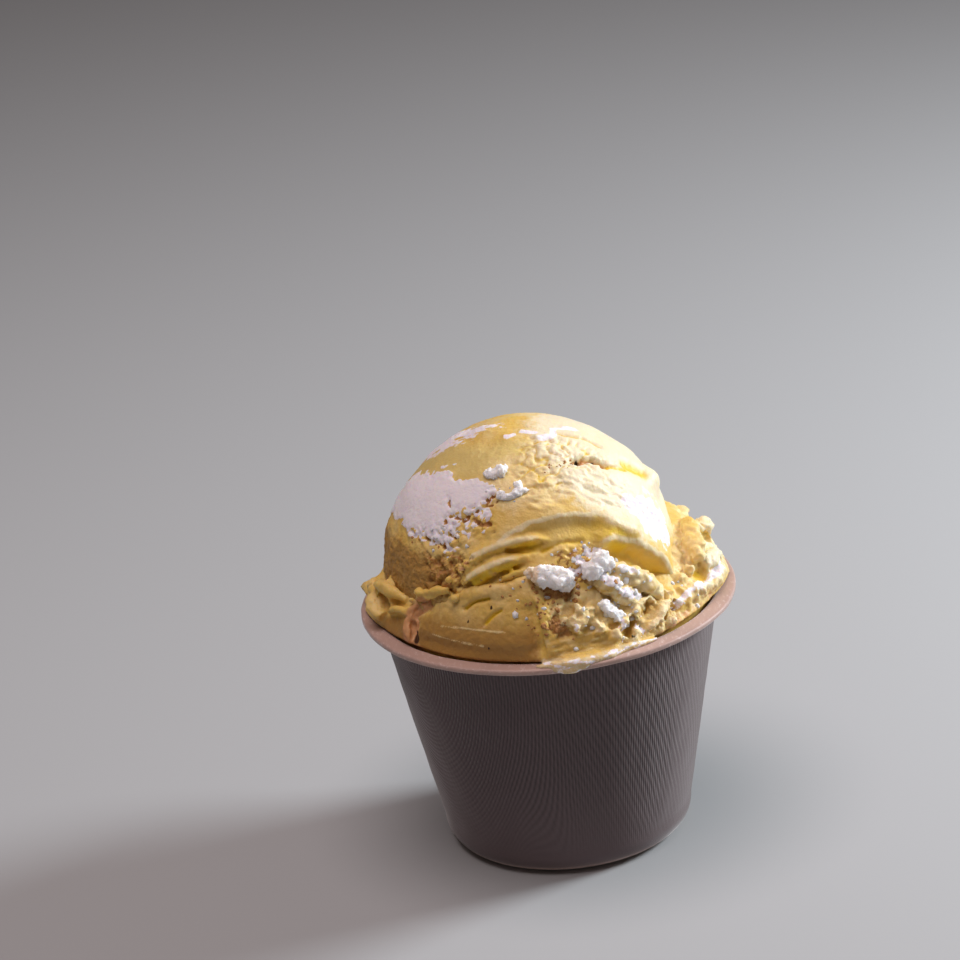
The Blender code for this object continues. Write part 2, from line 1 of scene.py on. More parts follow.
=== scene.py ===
from math import copysign, cos, degrees, exp, pi, radians, sin, sqrt

import bmesh
import bpy
import numpy as np
from mathutils import Matrix, Vector, noise
from mathutils.bvhtree import BVHTree


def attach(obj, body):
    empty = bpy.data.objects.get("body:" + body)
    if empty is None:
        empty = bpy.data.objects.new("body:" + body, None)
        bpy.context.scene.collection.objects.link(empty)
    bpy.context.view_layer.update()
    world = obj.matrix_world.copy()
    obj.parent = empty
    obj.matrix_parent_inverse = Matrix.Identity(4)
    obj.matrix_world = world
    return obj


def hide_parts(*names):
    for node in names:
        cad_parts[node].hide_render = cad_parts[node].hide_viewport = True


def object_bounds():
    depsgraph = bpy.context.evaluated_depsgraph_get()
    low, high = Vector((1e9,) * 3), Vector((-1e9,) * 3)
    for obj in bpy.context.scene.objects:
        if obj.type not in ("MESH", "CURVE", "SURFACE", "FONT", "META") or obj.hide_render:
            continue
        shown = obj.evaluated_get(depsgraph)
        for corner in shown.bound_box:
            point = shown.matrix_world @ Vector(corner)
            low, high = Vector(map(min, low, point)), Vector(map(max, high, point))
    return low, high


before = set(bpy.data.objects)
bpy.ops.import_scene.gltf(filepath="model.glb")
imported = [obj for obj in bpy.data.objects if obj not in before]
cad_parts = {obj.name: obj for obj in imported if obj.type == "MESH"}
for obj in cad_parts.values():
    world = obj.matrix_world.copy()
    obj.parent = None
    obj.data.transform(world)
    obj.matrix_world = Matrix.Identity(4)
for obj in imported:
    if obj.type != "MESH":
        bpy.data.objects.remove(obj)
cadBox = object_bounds()
print("frame loaded:", len(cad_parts), "nodes")

mm = 0.001  # shapes below are worked out in millimetres


# Small sums that every piece uses.
def fade(value):
    value = np.clip(value, 0, 1)
    return value * value * (3 - 2 * value)


def bell(value):
    return np.exp(-value ** 2)


def most(*tones):  # the strongest of several tones at each point
    return np.maximum.reduce(tones)


def shifted(points, size, seed):  # places in the noise, moved along by each seed
    return points / size + np.array((7.31, 3.17, 5.71)) * seed


def lumps(points, size, seed):  # smooth noise from about -1 to 1
    return np.array([noise.noise(place) for place in shifted(points, size, seed).tolist()])


def billows(points, size, seed):  # rounded lumps with creases between them, from 0 to about 1
    return 1 - 2 * np.abs(lumps(points, size, seed))


def pebbles(points, size, seed, where):  # crumbs pressed together: how high, and a tone for each crumb
    places = shifted(points, size, seed)
    height, tone = np.zeros((2, len(points)))
    for i in np.flatnonzero(where > 0.01):
        spot = Vector(places[i])
        away, middles = noise.voronoi(spot + 0.45 * noise.noise_vector(spot * 0.9))
        height[i] = min(1.5 * (away[1] - away[0]), 1.0) ** 0.5 * (1.1 - 0.5 * away[0])
        tone[i] = abs(noise.cell(middles[0] * 9.7))
    return height, tone


def direction(longitude, latitude):
    lon, lat = radians(longitude), radians(latitude)
    return np.array((sin(lon) * cos(lat), -cos(lon) * cos(lat), sin(lat)))


def ringAt(radius, angle, height):  # a place or places round the axis, by angle from the front
    return np.stack([radius * np.sin(angle), -radius * np.cos(angle), height + 0 * angle], -1)


def bent(start, corner, end, count):
    return [tuple(a * (1 - t) ** 2 + 2 * b * t * (1 - t) + c * t * t for a, b, c in zip(start, corner, end))
            for t in (step / count for step in range(count + 1))]


def smoothLine(points, count):  # a smooth line through given points
    points = np.array(points, float)
    ends = np.vstack([2 * points[0] - points[1], points, 2 * points[-1] - points[-2]])
    made = []
    for t in np.linspace(0, len(points) - 1, count):
        i = min(int(t), len(points) - 2)
        f = t - i
        a, b, c, d = ends[i:i + 4]
        made.append(0.5 * (2 * b + (c - a) * f + (2 * a - 5 * b + 4 * c - d) * f ** 2
                           + (3 * b - a - 3 * c + d) * f ** 3))
    return np.array(made)


def nearLine(points, line):  # the distance to a line, how far along it, and the side if it lies flat
    best, along, side = np.full(len(points), 1e9), np.zeros(len(points)), np.ones(len(points))
    for i, (start, end) in enumerate(zip(line, line[1:])):
        run = end - start
        t = np.clip((points - start) @ run / max(run @ run, 1e-9), 0, 1)
        gap = points - start - t[:, None] * run
        away = np.linalg.norm(gap, axis=1)
        nearer = away < best
        side = np.where(nearer, np.sign(run[0] * gap[:, 1] - run[1] * gap[:, 0]), side)
        along = np.where(nearer, (i + t) / (len(line) - 1), along)
        best = np.minimum(best, away)
    return best, along, side


def insideOutline(flat, outline):  # distance inside a closed outline, negative outside it
    outline = np.array(outline, float)
    best, odd = np.full(len(flat), 1e9), np.zeros(len(flat), bool)
    for start, end in zip(outline, np.roll(outline, -1, axis=0)):
        run = end - start
        t = np.clip((flat - start) @ run / (run @ run), 0, 1)
        best = np.minimum(best, np.linalg.norm(flat - start - t[:, None] * run, axis=1))
        spans = (start[1] > flat[:, 1]) != (end[1] > flat[:, 1])
        rise = run[1] if abs(run[1]) > 1e-9 else 1e-9
        crosses = flat[:, 0] < start[0] + run[0] * (flat[:, 1] - start[1]) / rise
        odd ^= spans & crosses
    return np.where(odd, best, -best)


# Mesh makers. A shell is its points in millimetres and its faces.
def roundShell(level):
    shape = bmesh.new()
    bmesh.ops.create_icosphere(shape, subdivisions=level, radius=1.0)
    points = np.array([vertex.co for vertex in shape.verts])
    faces = [[vertex.index for vertex in face.verts] for face in shape.faces]
    shape.free()
    return points / np.linalg.norm(points, axis=1)[:, None], faces


def ringShell(rings):  # closed skin over rings of points, capped at both ends
    count, sides = len(rings), len(rings[0])
    faces = []
    for i in range(count - 1):
        for j in range(sides):
            k = (j + 1) % sides
            faces.append([i * sides + j, i * sides + k, (i + 1) * sides + k, (i + 1) * sides + j])
    faces.append(list(range(sides))[::-1])
    faces.append([(count - 1) * sides + j for j in range(sides)])
    return np.concatenate(rings), faces


def latheShell(rows):  # rows are arrays of points round the axis, from the top middle to the bottom middle
    count, steps = len(rows), len(rows[0])
    points = np.concatenate([rows[0].mean(0)[None]] + list(rows) + [rows[-1].mean(0)[None]])
    last = len(points) - 1
    faces = []
    for j in range(steps):
        k = (j + 1) % steps
        faces.append([0, 1 + j, 1 + k])
        faces.append([last, 1 + (count - 1) * steps + k, 1 + (count - 1) * steps + j])
        for i in range(count - 1):
            a, b = 1 + i * steps, 1 + (i + 1) * steps
            faces.append([a + j, b + j, b + k, a + k])
    return points, faces


def joinShells(shells):
    points, faces, start = [], [], 0
    for shellPoints, shellFaces in shells:
        points.append(shellPoints)
        faces += [[i + start for i in face] for face in shellFaces]
        start += len(shellPoints)
    return np.concatenate(points), faces


def makeMesh(name, shell):
    points, faces = shell
    mesh = bpy.data.meshes.new(name)
    mesh.from_pydata((points * mm).tolist(), [], faces)
    shape = bmesh.new()
    shape.from_mesh(mesh)
    bmesh.ops.recalc_face_normals(shape, faces=shape.faces)
    shape.to_mesh(mesh)
    shape.free()
    return mesh


def makePiece(name, mesh, material, nodes=()):
    piece = bpy.data.objects.new(name, mesh)
    bpy.context.scene.collection.objects.link(piece)
    mesh.name = name
    mesh.materials.clear()
    mesh.materials.append(material)
    mesh.shade_smooth()
    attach(piece, "root")
    if nodes:
        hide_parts(*nodes)
    return piece


def fuseShells(name, shells, voxel):  # one skin over shells that cross, as gelato pressed together
    mesh = makeMesh(name, joinShells(shells))
    holder = bpy.data.objects.new(name, mesh)
    bpy.context.scene.collection.objects.link(holder)
    change = holder.modifiers.new("fuse", "REMESH")
    change.mode = "VOXEL"
    change.voxel_size = voxel * mm
    bpy.context.view_layer.update()
    graph = bpy.context.evaluated_depsgraph_get()
    fused = bpy.data.meshes.new_from_object(holder.evaluated_get(graph))
    bpy.data.objects.remove(holder, do_unlink=True)
    bpy.data.meshes.remove(mesh)
    return fused


def meshPoints(mesh):  # the points in millimetres, and the normals
    both = []
    for name in ("co", "normal"):
        values = np.empty(len(mesh.vertices) * 3, np.float32)
        mesh.vertices.foreach_get(name, values)
        both.append(values.reshape(-1, 3).astype(float))
    return both[0] / mm, both[1]


def setPoints(mesh, points):
    mesh.vertices.foreach_set("co", (points * mm).astype(np.float32).ravel())
    mesh.update()


def neighbourMean(mesh, points):
    ends = np.empty(len(mesh.edges) * 2, np.int32)
    mesh.edges.foreach_get("vertices", ends)
    a, b = ends.reshape(-1, 2).T
    size = len(points)
    count = np.bincount(a, minlength=size) + np.bincount(b, minlength=size)
    total = [np.bincount(a, column[b], size) + np.bincount(b, column[a], size) for column in points.T]
    return np.stack(total, 1) / np.maximum(count, 1)[:, None]


def smoothMesh(mesh, times):
    points, _ = meshPoints(mesh)
    for _ in range(times):
        points += 0.5 * (neighbourMean(mesh, points) - points)
    setPoints(mesh, points)


def creases(mesh, times):  # how hollow (+) or proud (-) the surface is, in millimetres
    points, normals = meshPoints(mesh)
    wide = points
    for _ in range(times):
        wide = neighbourMean(mesh, wide)
    return ((wide - points) * normals).sum(1)


def paint(mesh, **tones):  # the named tones that the materials read, 0 to 1 at each point
    for name, values in tones.items():
        attribute = mesh.attributes.new(name, "FLOAT", "POINT")
        attribute.data.foreach_set("value", np.clip(values, 0, 1).astype(np.float32))


# Materials. A Wire is the output of a node, and sums of Wires add Math nodes.
class Wire:
    def __init__(self, tree, socket):
        self.tree, self.socket = tree, socket

    def maths(self, operation, *values):
        made = self.tree.nodes.new("ShaderNodeMath")
        made.operation = operation
        for socket, value in zip(made.inputs, values):
            plug(self.tree, socket, value)
        return Wire(self.tree, made.outputs[0])

    __add__ = __radd__ = lambda self, other: self.maths("ADD", self, other)
    __sub__ = lambda self, other: self.maths("SUBTRACT", self, other)
    __rsub__ = lambda self, other: self.maths("SUBTRACT", other, self)
    __mul__ = __rmul__ = lambda self, other: self.maths("MULTIPLY", self, other)
    __pow__ = lambda self, other: self.maths("POWER", self, other)

    def ramp(self, low, high):  # 0 below low and 1 above high, smooth between
        made = self.tree.nodes.new("ShaderNodeMapRange")
        made.interpolation_type = "SMOOTHSTEP"
        plug(self.tree, made.inputs["Value"], self)
        plug(self.tree, made.inputs["From Min"], low)
        plug(self.tree, made.inputs["From Max"], high)
        return Wire(self.tree, made.outputs["Result"])


def plug(tree, socket, value):
    if isinstance(value, Wire):
        tree.links.new(value.socket, socket)
    else:
        socket.default_value = value


class Finish:
    def __init__(self, name, **constants):
        self.material = bpy.data.materials.new(name)
        self.material.use_nodes = True
        self.tree = self.material.node_tree
        self.shader = self.tree.nodes["Principled BSDF"]
        for key, value in constants.items():
            self.shader.inputs[key.replace("_", " ")].default_value = value

    def node(self, kind, settings=None, output=0, **sockets):
        made = self.tree.nodes.new(kind)
        for key, value in (settings or {}).items():
            setattr(made, key, value)
        for key, value in sockets.items():
            plug(self.tree, made.inputs[key.replace("_", " ")], value)
        return Wire(self.tree, made.outputs[output])

    def place(self):  # object coordinates in millimetres
        return self.node("ShaderNodeVectorMath", {"operation": "SCALE"}, Scale=1 / mm,
                         Vector=self.node("ShaderNodeTexCoord", output="Object"))

    def stretched(self, place, turn, scale):
        return self.node("ShaderNodeMapping", Vector=place, Rotation=turn, Scale=scale)

    def grain(self, place, size, detail=3.0, roughness=0.55):
        return self.node("ShaderNodeTexNoise", Vector=place, Scale=1 / size, Detail=detail,
                         Roughness=roughness)

    def cells(self, place, size):
        return self.node("ShaderNodeTexVoronoi", output="Distance", Vector=place, Scale=1 / size)

    def tone(self, name):
        return self.node("ShaderNodeAttribute", {"attribute_name": name}, output="Fac")

    def mix(self, first, second, share, blend="MIX"):
        made = self.tree.nodes.new("ShaderNodeMix")
        made.data_type = "RGBA"
        made.blend_type = blend
        for index, value in ((0, share), (6, first), (7, second)):
            plug(self.tree, made.inputs[index], value)
        return Wire(self.tree, made.outputs[2])

    def bump(self, height, depth):
        return self.node("ShaderNodeBump", Height=height, Distance=depth * mm, Strength=1.0)

    def connect(self, **sockets):
        for key, value in sockets.items():
            plug(self.tree, self.shader.inputs[key.replace("_", " ")], value)
        return self.material


gelatoLook = dict(body=(0.78, 0.53, 0.13, 1), pale=(0.85, 0.67, 0.33, 1), cream=(0.86, 0.77, 0.54, 1),
                  gold=(0.81, 0.55, 0.03, 1), tan=(0.47, 0.26, 0.065, 1), olive=(0.75, 0.58, 0.21, 1),
                  white=(0.90, 0.85, 0.89, 1), crumb=(0.42, 0.19, 0.05, 1), pink=(0.68, 0.36, 0.16, 1),
                  dark=(0.05, 0.02, 0.01, 1), roughness=0.42, frost=0.16, pits=0.35)
# Colour, the painted tone it follows, how much noise breaks its edge, and the tones where it starts
# and is full. Gold is painted shade in hollows, cracks and under folds; pale and cream are also painted
# light, and tan is also painted shade, where the scoops lay them.
gelatoTones = (("tan", "tan", 0.5, 0.1, 0.9), ("pale", "pale", 0.5, 0.25, 0.75),
               ("cream", "cream", 0.6, 0.15, 0.85),
               ("gold", "deep", 0.3, 0.15, 0.95), ("pink", "pink", 0.4, 0.3, 0.7),
               ("crumb", "crumb", 1.0, 0.45, 0.85))


def gelatoFinish():
    look = gelatoLook
    finish = Finish("gelato", Subsurface_Weight=0.3, Subsurface_Scale=1.4 * mm,
                    Subsurface_Radius=(1.0, 0.62, 0.25), Specular_IOR_Level=0.35)
    place = finish.place()
    broad = finish.grain(place, 9.0, 2.0)
    fine = finish.grain(place, 1.1, 4.0)
    specks = finish.grain(place, 0.45, 2.0)
    edge = (fine - 0.5) * 0.9
    colour = finish.mix(look["body"], look["pale"], broad.ramp(0.42, 0.75) * 0.6 + (specks - 0.5) * 0.5)
    colour = finish.mix(colour, look["olive"], finish.tone("olive"))
    for name, tone, wobble, low, high in gelatoTones:
        colour = finish.mix(colour, look[name], (finish.tone(tone) + edge * wobble).ramp(low, high))
    white = (finish.tone("white") + edge * 0.9).ramp(0.38, 0.62)
    colour = finish.mix(colour, look["white"], white)
    colour = finish.mix(colour, look["crumb"], finish.tone("porous") * specks.ramp(0.60, 0.72) * 0.5)
    # Painted shadow: near black in the holes.
    colour = finish.mix(colour, look["dark"], finish.tone("dark").ramp(0.4, 0.7))
    pits = finish.cells(place, 0.9).ramp(0.15, 0.5)
    height = fine * 0.5 + specks * look["frost"] + pits * finish.tone("porous") * look["pits"]
    normal = finish.bump(height, 0.42)
    gloss = look["roughness"] + white * 0.25 + finish.tone("porous") * 0.15
    return finish.connect(Base_Color=colour, Roughness=gloss, Normal=normal)


# hollow is painted shade, laid in the creases and on the lower and left sides away from the lamp.
meringueLook = dict(white=(0.98, 0.98, 1.0, 1), warm=(0.95, 0.93, 0.96, 1), hollow=(0.80, 0.60, 0.36, 1))


def meringueFinish():
    look = meringueLook
    finish = Finish("meringue", Subsurface_Weight=0.8, Subsurface_Scale=2.0 * mm,
                    Subsurface_Radius=(1.0, 0.9, 0.8), Specular_IOR_Level=0.35)
    place = finish.place()
    fine = finish.grain(place, 0.8, 4.0, 0.65)
    colour = finish.mix(look["white"], look["warm"], finish.grain(place, 2.5).ramp(0.45, 0.70))
    colour = finish.mix(colour, look["hollow"], (finish.tone("deep") + (fine - 0.5) * 0.6).ramp(0.5, 1.0))
    return finish.connect(Base_Color=colour, Roughness=0.62 + fine * 0.2, Normal=finish.bump(fine, 0.18))


def crumbFinish():
    finish = Finish("crumb", Subsurface_Weight=0.1, Subsurface_Scale=0.6 * mm)
    place = finish.place()
    fine = finish.grain(place, 0.7, 4.0, 0.65)
    colour = finish.mix((0.60, 0.31, 0.10, 1), (0.34, 0.14, 0.04, 1), fine.ramp(0.40, 0.65))
    return finish.connect(Base_Color=colour, Roughness=0.6 + fine * 0.2, Normal=finish.bump(fine, 0.3))


# The screen that the pulp was pressed on leaves fine ribs and slanting waves, which bend round a
# point at the left. Both are counted per millimetre along the wall.
# wall is painted shade: the outer wall is the same pulp as the lip, painted much darker as the shade it
# stands in.
fibreLook = dict(lip=(0.48, 0.32, 0.27, 1), dark=(0.38, 0.26, 0.22, 1), light=(0.74, 0.63, 0.60, 1),
                 wall=(0.13, 0.09, 0.092, 1), groove=(0.045, 0.03, 0.032, 1), radius=38.0, ribs=1.40,
                 waves=(0.5864, 0.26), bend=(-38.0, 60.0, 0.30), depth=0.20)


def fibreFinish():
    look = fibreLook
    finish = Finish("fibre", Specular_IOR_Level=0.5, Sheen_Weight=0.5, Sheen_Roughness=0.4)
    place = finish.place()
    parts = finish.tree.nodes.new("ShaderNodeSeparateXYZ")
    plug(finish.tree, parts.inputs[0], place)
    x, y, z = (Wire(finish.tree, output) for output in parts.outputs)
    wall = finish.tone("wall")
    around = x.maths("ARCTAN2", x, 0 - y) * look["radius"]
    atSide, atHeight, pull = look["bend"]
    left = (0 - around).ramp(-4.0, 16.0)
    front = (0 - y).ramp(-4.0, 8.0)
    away = (around - atSide) ** 2 + (z - atHeight) ** 2 * left * pull
    wobble = finish.grain(place, 5.0, 2.0) * 1.6
    rib = x.maths("SINE", (away ** 0.5 * look["ribs"] + wobble * 0.3) * (2 * pi))
    wave = x.maths("SINE", (around * look["waves"][0] + z * look["waves"][1] + wobble * 0.3) * (2 * pi))
    waveShare = x.ramp(-10.0, 26.0) * 0.45 + 0.12
    screen = (rib * (0.62 - waveShare * 0.4) * front + wave * (waveShare + (1 - front) * 0.3)) * 0.7 + 0.5
    fibres = finish.grain(finish.stretched(place, (0.3, 0.2, 0.9), (1.0, 0.35, 1.6)), 0.8, 5.0, 0.7)
    cloud = finish.grain(place, 7.0, 2.0)
    colour = finish.mix(look["lip"], look["dark"], cloud.ramp(0.40, 0.75) * 0.45)
    colour = finish.mix(colour, look["light"], fibres.ramp(0.52, 0.72) * 0.6)
    # Painted shade: the outer wall darkened as the shaded side of the cup.
    colour = finish.mix(colour, look["wall"], wall)
    # Painted shade: the grooves of the screen darkened as the shade in them.
    colour = finish.mix(colour, look["groove"], finish.tone("screen") * (1 - screen) * 0.9)
    height = screen * finish.tone("screen") + fibres * 0.3
    return finish.connect(Base_Color=colour, Roughness=0.36 + fibres * 0.25 + wall * 0.25,
                          Normal=finish.bump(height, look["depth"]))


gelato = gelatoFinish()
meringue = meringueFinish()
crumb = crumbFinish()
fibre = fibreFinish()
print("materials made")

# The cup: a shell turned from its own section, with the slight waves of pressed pulp.
cup = dict(rim=45.0, height=61.2, wallTop=40.8, wallBase=30.2, fillet=6.6, wall=1.0, lip=1.5, lipBend=1.4,
           footInner=18.0, footRecess=0.7, footStep=1.0, steps=360, rows=44, wave=0.12, dent=0.10)


def wallRadius(height, inset=0.0):
    slope = (cup["wallTop"] - cup["wallBase"]) / (cup["height"] - cup["lip"] - cup["fillet"])
    return cup["wallBase"] + slope * (height - cup["fillet"]) - inset * sqrt(1 + slope * slope)


def straight(start, end, count):
    return [tuple(a + (b - a) * i / count for a, b in zip(start, end)) for i in range(1, count)]


def cupSection():
    inner, top, underLip = cup["wall"], cup["height"], cup["height"] - cup["lip"]
    floor = cup["wall"] + cup["footRecess"]
    corner = cup["wallBase"] - cup["fillet"]
    rise = cup["fillet"] - floor
    points = [(corner * 0.3, floor), (corner * 0.6, floor)]
    points += bent((wallRadius(floor, inner) - rise, floor), (wallRadius(floor, inner), floor),
                   (wallRadius(cup["fillet"] + 1, inner), cup["fillet"] + 1), 6)
    lowBend = top - cup["lipBend"] * 1.8
    points += straight(points[-1], (wallRadius(lowBend, inner), lowBend), 12)
    points += bent((wallRadius(lowBend, inner), lowBend), (wallRadius(top, inner), top - 0.1),
                   (wallRadius(top, inner) + cup["lipBend"], top), 6)
    edge = cup["lip"] / 2
    points += bent((cup["rim"] - edge, top), (cup["rim"], top), (cup["rim"], top - edge), 5)
    points += bent((cup["rim"], top - edge), (cup["rim"], underLip), (cup["rim"] - edge, underLip), 5)[1:]
    lowBend = underLip - cup["lipBend"]
    points += bent((wallRadius(underLip) + cup["lipBend"], underLip), (wallRadius(underLip), underLip),
                   (wallRadius(lowBend), lowBend), 6)
    points += straight(points[-1], (cup["wallBase"], cup["fillet"]), cup["rows"])
    points += bent((cup["wallBase"], cup["fillet"]), (cup["wallBase"], 0), (corner, 0), 10)
    points += [(cup["footInner"] + cup["footStep"], 0), (cup["footInner"], cup["footRecess"]),
               (cup["footInner"] * 0.3, cup["footRecess"])]
    return points


def makeCup():
    angles = np.linspace(0, 2 * pi, cup["steps"], endpoint=False)
    rows = [ringAt(radius, angles, height) for radius, height in cupSection()]
    mesh = makeMesh("fibreCup", latheShell(rows))
    points, _ = meshPoints(mesh)
    radius = np.hypot(points[:, 0], points[:, 1])
    free = fade(points[:, 2] / 12)
    flex = cup["wave"] * lumps(points * (1, 1, 0.35), 16.0, 41) + cup["dent"] * lumps(points, 5.0, 42)
    flex = np.minimum(flex, 0.98 * (cup["rim"] - radius)) * free
    points[:, :2] *= (1 + flex / np.maximum(radius, 1))[:, None]
    onLip = fade((points[:, 2] - cup["height"] + 2.2) / 1.4) * fade((radius - 38) / 4)
    points[:, 2] += onLip * np.minimum(0.10 * lumps(points, 9.0, 43) - 0.06, 0)
    setPoints(mesh, points)
    outer = radius - wallRadius(points[:, 2]) > -0.5
    azimuth = np.degrees(np.arctan2(points[:, 0], -points[:, 1]))
    lipEdge = fade((cup["height"] - cup["lip"] - 0.2 - points[:, 2]) / 0.8)
    wall = fade((cup["height"] - cup["lip"] - 0.9 - points[:, 2]) / 1.2) * fade((points[:, 2] - 3.0) / 5.0)
    sides = 0.3 + 0.7 * fade((60 - np.abs(azimuth)) / 25 + (np.abs(azimuth) > 90))
    # The wall tone marks the outer wall for painted shade; the screen tone marks where the screen's ribs
    # show, with their grooves painted as shade.
    paint(mesh, wall=outer * fade((points[:, 2] + 4) / 8) * lipEdge,
          screen=outer * wall * fade((points[:, 2] + 2) / 34) * sides)
    return makePiece("fibreCup", mesh, fibre, ["cup"])


makeCup()
print("cup made")

foldParts = ("at", "turn", "half", "arch", "proud", "back", "hollow", "below")


def foldTable(rows):
    return {name: dict(zip(foldParts, row)) for name, row in rows.items()}


# The upper scoop. Folds are lips that arch over hollows: where the middle is (longitude from the front,
# latitude), the turn, half length, rise, how proud, how far it runs up behind, and the hollow's depth
# and width below.
scoop = dict(centre=np.array((-3.0, 1.0, 69.6)), radius=34.8, level=6, seat=55.0, voxel=0.42,
             sway=0.6, swaySize=17.0, grain=0.4, grainSize=6.2, buried=-10.0, buryFade=6.0)
scoopFolds = foldTable({
    "upperRib": ((-11, 25), 16, 11.2, 1.4, 1.8, 3.4, 1.2, 2.6),
    "lowerRib": ((-16, 18), 23, 8.5, 1.0, 1.8, 2.8, 1.2, 2.6),
    "backFold": ((178, 24), 8, 20.0, 5.0, 1.8, 6.0, 1.8, 5.0),
    "backRib": ((146, 6), -14, 14.0, 3.0, 1.8, 4.4, 1.2, 4.0),
})
# Swells: where, how high and how wide.
scoopSwells = (((20, 8), 1.2, 15.0), ((86, 31), 2.4, 4.0), ((84, 22), -1.2, 4.4), ((-150, 34), -1.0, 9.0))
# Two lips drawn as lines of longitude and latitude: how proud the lip is, how deep and wide the smooth
# face below it is, how far the scoop takes to come out again, how far the lip runs up behind, and how
# strong the painted gold shade on the face is from one end to the other.
scoopLips = dict(
    eyelid=dict(line=[(-17, 27.0), (-12, 29.6), (-5, 33.4), (4, 35.6), (13, 36.4), (22, 35.6), (33, 32.4),
                      (40, 27.6), (45, 23.0),
                      (48, 18.5)], proud=1.25, hollow=0.45, face=2.3, below=4.0, back=4.5,
                gold=(0.3, 0.95)),
    sheet=dict(line=[(27, 22.0), (33, 23.4), (39, 21.3), (45, 18.0), (49.5, 14.6), (54, 10.4), (57, 6.2),
                     (59.3, 0.5), (59.6, -7.0)], proud=2.6, hollow=1.3, face=2.8, below=6.5, back=4.0,
               gold=(0.65, 0.85)))
foldSection = ((1.0, -0.30), (0.55, 0.48), (0.16, 0.92), (-0.05, 0.86), (-0.04, 0.40), (0.22, -0.55),
               (0.62, -0.95))
foldStations = 64
foldTip = 0.1
# Ribs and ridges that stand on the scoop: longitudes, latitudes and how far out, with radii along them.
scoopRopes = [
    ([(-30, 12, -0.4), (-27, 20, 0.2), (-18, 26, 0.3), (-7, 28.5, 0.1),
      (4, 29, -0.5)], (0.8, 1.3, 1.2, 0.9, 0.6)),
    ([(-24, 13, -0.3), (-16, 18.5, 0.3), (-5, 22.5, 0.2), (3, 24, -0.4)], (0.8, 1.2, 1.0, 0.6)),
    ([(-14, 14.5, -0.2), (-8, 17, 0.3), (-2, 18.5, 0.0)], (0.7, 0.9, 0.6)),
    ([(28, 14.0, 1.4), (33.5, 11.0, 2.4), (38.5, 7.2, 3.0), (43, 3.2, 3.2), (47, -1.5, 2.9), (50, -8, 1.8)],
     (1.5, 2.3, 2.6, 2.6, 2.4, 1.6)),
    ([(24, 11.5, 2.2), (27, 8.4, 3.0), (30.5, 4.4, 3.5), (34.6, 0.9, 3.5), (38.4, -2.6, 3.2),
      (41.0, -7.0, 2.4)],
     (1.7, 2.2, 2.3, 2.1, 1.9, 1.4)),
]


def hollowDepth(u, v, fold):
    under = v - fold["arch"] * (1 - (u / fold["half"]) ** 2) + copysign(fold["below"], fold["back"]) / 2
    ends = fade(2.2 * (1 - np.abs(u) / fold["half"]))
    return fold["hollow"] * ends * bell(under / fold["below"] * 1.6)


def foldTones(u, v, fold):  # how far a place is under a fold's lip, at the edge of the lip, and on the fold
    ends = fade(2.2 * (1 - np.abs(u) / fold["half"]))
    up = (v - fold["arch"] * (1 - (u / fold["half"]) ** 2)) * copysign(1, fold["back"])
    body = ends * fade(2 * up + 0.5) * fade(1.5 - up / abs(fold["back"]))
    return hollowDepth(u, v, fold) / fold["hollow"], ends * bell((up - 0.6) / 0.8), body


def turnedAxes(turn, east, north):
    turn = radians(turn)
    return east * cos(turn) + north * sin(turn), north * cos(turn) - east * sin(turn)


def scoopAxes(at, turn):
    out = direction(*at)
    east = np.cross((0, 0, 1), out)
    east /= np.linalg.norm(east)
    return (out,) + turnedAxes(turn, east, np.cross(out, east))


def onScoop(longitude, latitude, out=0.0):
    return scoop["centre"] + direction(longitude, latitude) * (scoop["radius"] + out)


def scoopPlace(fold):
    out, along, across = scoopAxes(fold["at"], fold["turn"])

    def place(u, v):
        unit = out * scoop["radius"] + along * u + across * v
        return scoop["centre"] + unit / np.linalg.norm(unit) * scoop["radius"]
    return place


def foldShell(fold, place, seed):
    rings = []
    loop = smoothLine(np.array(foldSection + foldSection[:1]), 36)[:-1]
    for station in range(foldStations):
        u = fold["half"] * (2 * station / (foldStations - 1) - 1)
        share = foldTip + (1 - foldTip) * sqrt(max(1 - (u / fold["half"]) ** 2, 0.0))
        wave = 1 + 0.3 * noise.noise((u / 3.5, seed * 3.1, 0.5))
        wave += 0.12 * noise.noise((u / 1.4, seed * 1.7, 4.5))
        crest = fold["arch"] * (1 - (u / fold["half"]) ** 2)
        crest += 0.6 * noise.noise((u / 2.9, 7.7, seed * 2.3))
        crest += 0.25 * noise.noise((u / 1.2, 2.7, seed * 1.9))
        middle = place(u, crest)
        normal = np.cross(place(u + 0.5, crest) - middle, place(u, crest + 0.5) - middle)
        normal /= np.linalg.norm(normal)
        rings.append(np.array([place(u, crest + back * fold["back"] * share)
                               + normal * height * fold["proud"] * share * wave for back, height in loop]))
    return ringShell(rings)


def ropeShell(line, radii, seed, rough):  # a knobbly rope along a line of points
    line = smoothLine(line, 12 * (len(line) - 1))
    radii = np.interp(np.linspace(0, 1, len(line)), np.linspace(0, 1, len(radii)), radii)
    rings = []
    for i, (point, radius) in enumerate(zip(line, radii)):
        ahead = line[min(i + 1, len(line) - 1)] - line[max(i - 1, 0)]
        ahead /= np.linalg.norm(ahead)
        side = np.cross(ahead, (0.3, -0.9, 0.3))
        side /= np.linalg.norm(side)
        up = np.cross(side, ahead)
        angle = np.linspace(0, 2 * pi, 12, endpoint=False)[:, None]
        out = (side * np.cos(angle) + up * np.sin(angle)) * radius
        ring = point + out
        bumps = [noise.noise(spot) for spot in (ring / 1.6 + seed * 3.3).tolist()]
        rings.append(ring + out * rough * 2 * np.array(bumps)[:, None])
    return ringShell(rings)


def blobShell(middle, half, axes, seed, level=3, rough=0.2):
    unit, faces = roundShell(level)
    swell = 1 + rough * 2 * lumps(unit, 0.75, seed) + rough * lumps(unit, 0.33, seed + 1)
    return (unit * swell[:, None] * np.array(half)) @ np.stack(axes) + middle, faces


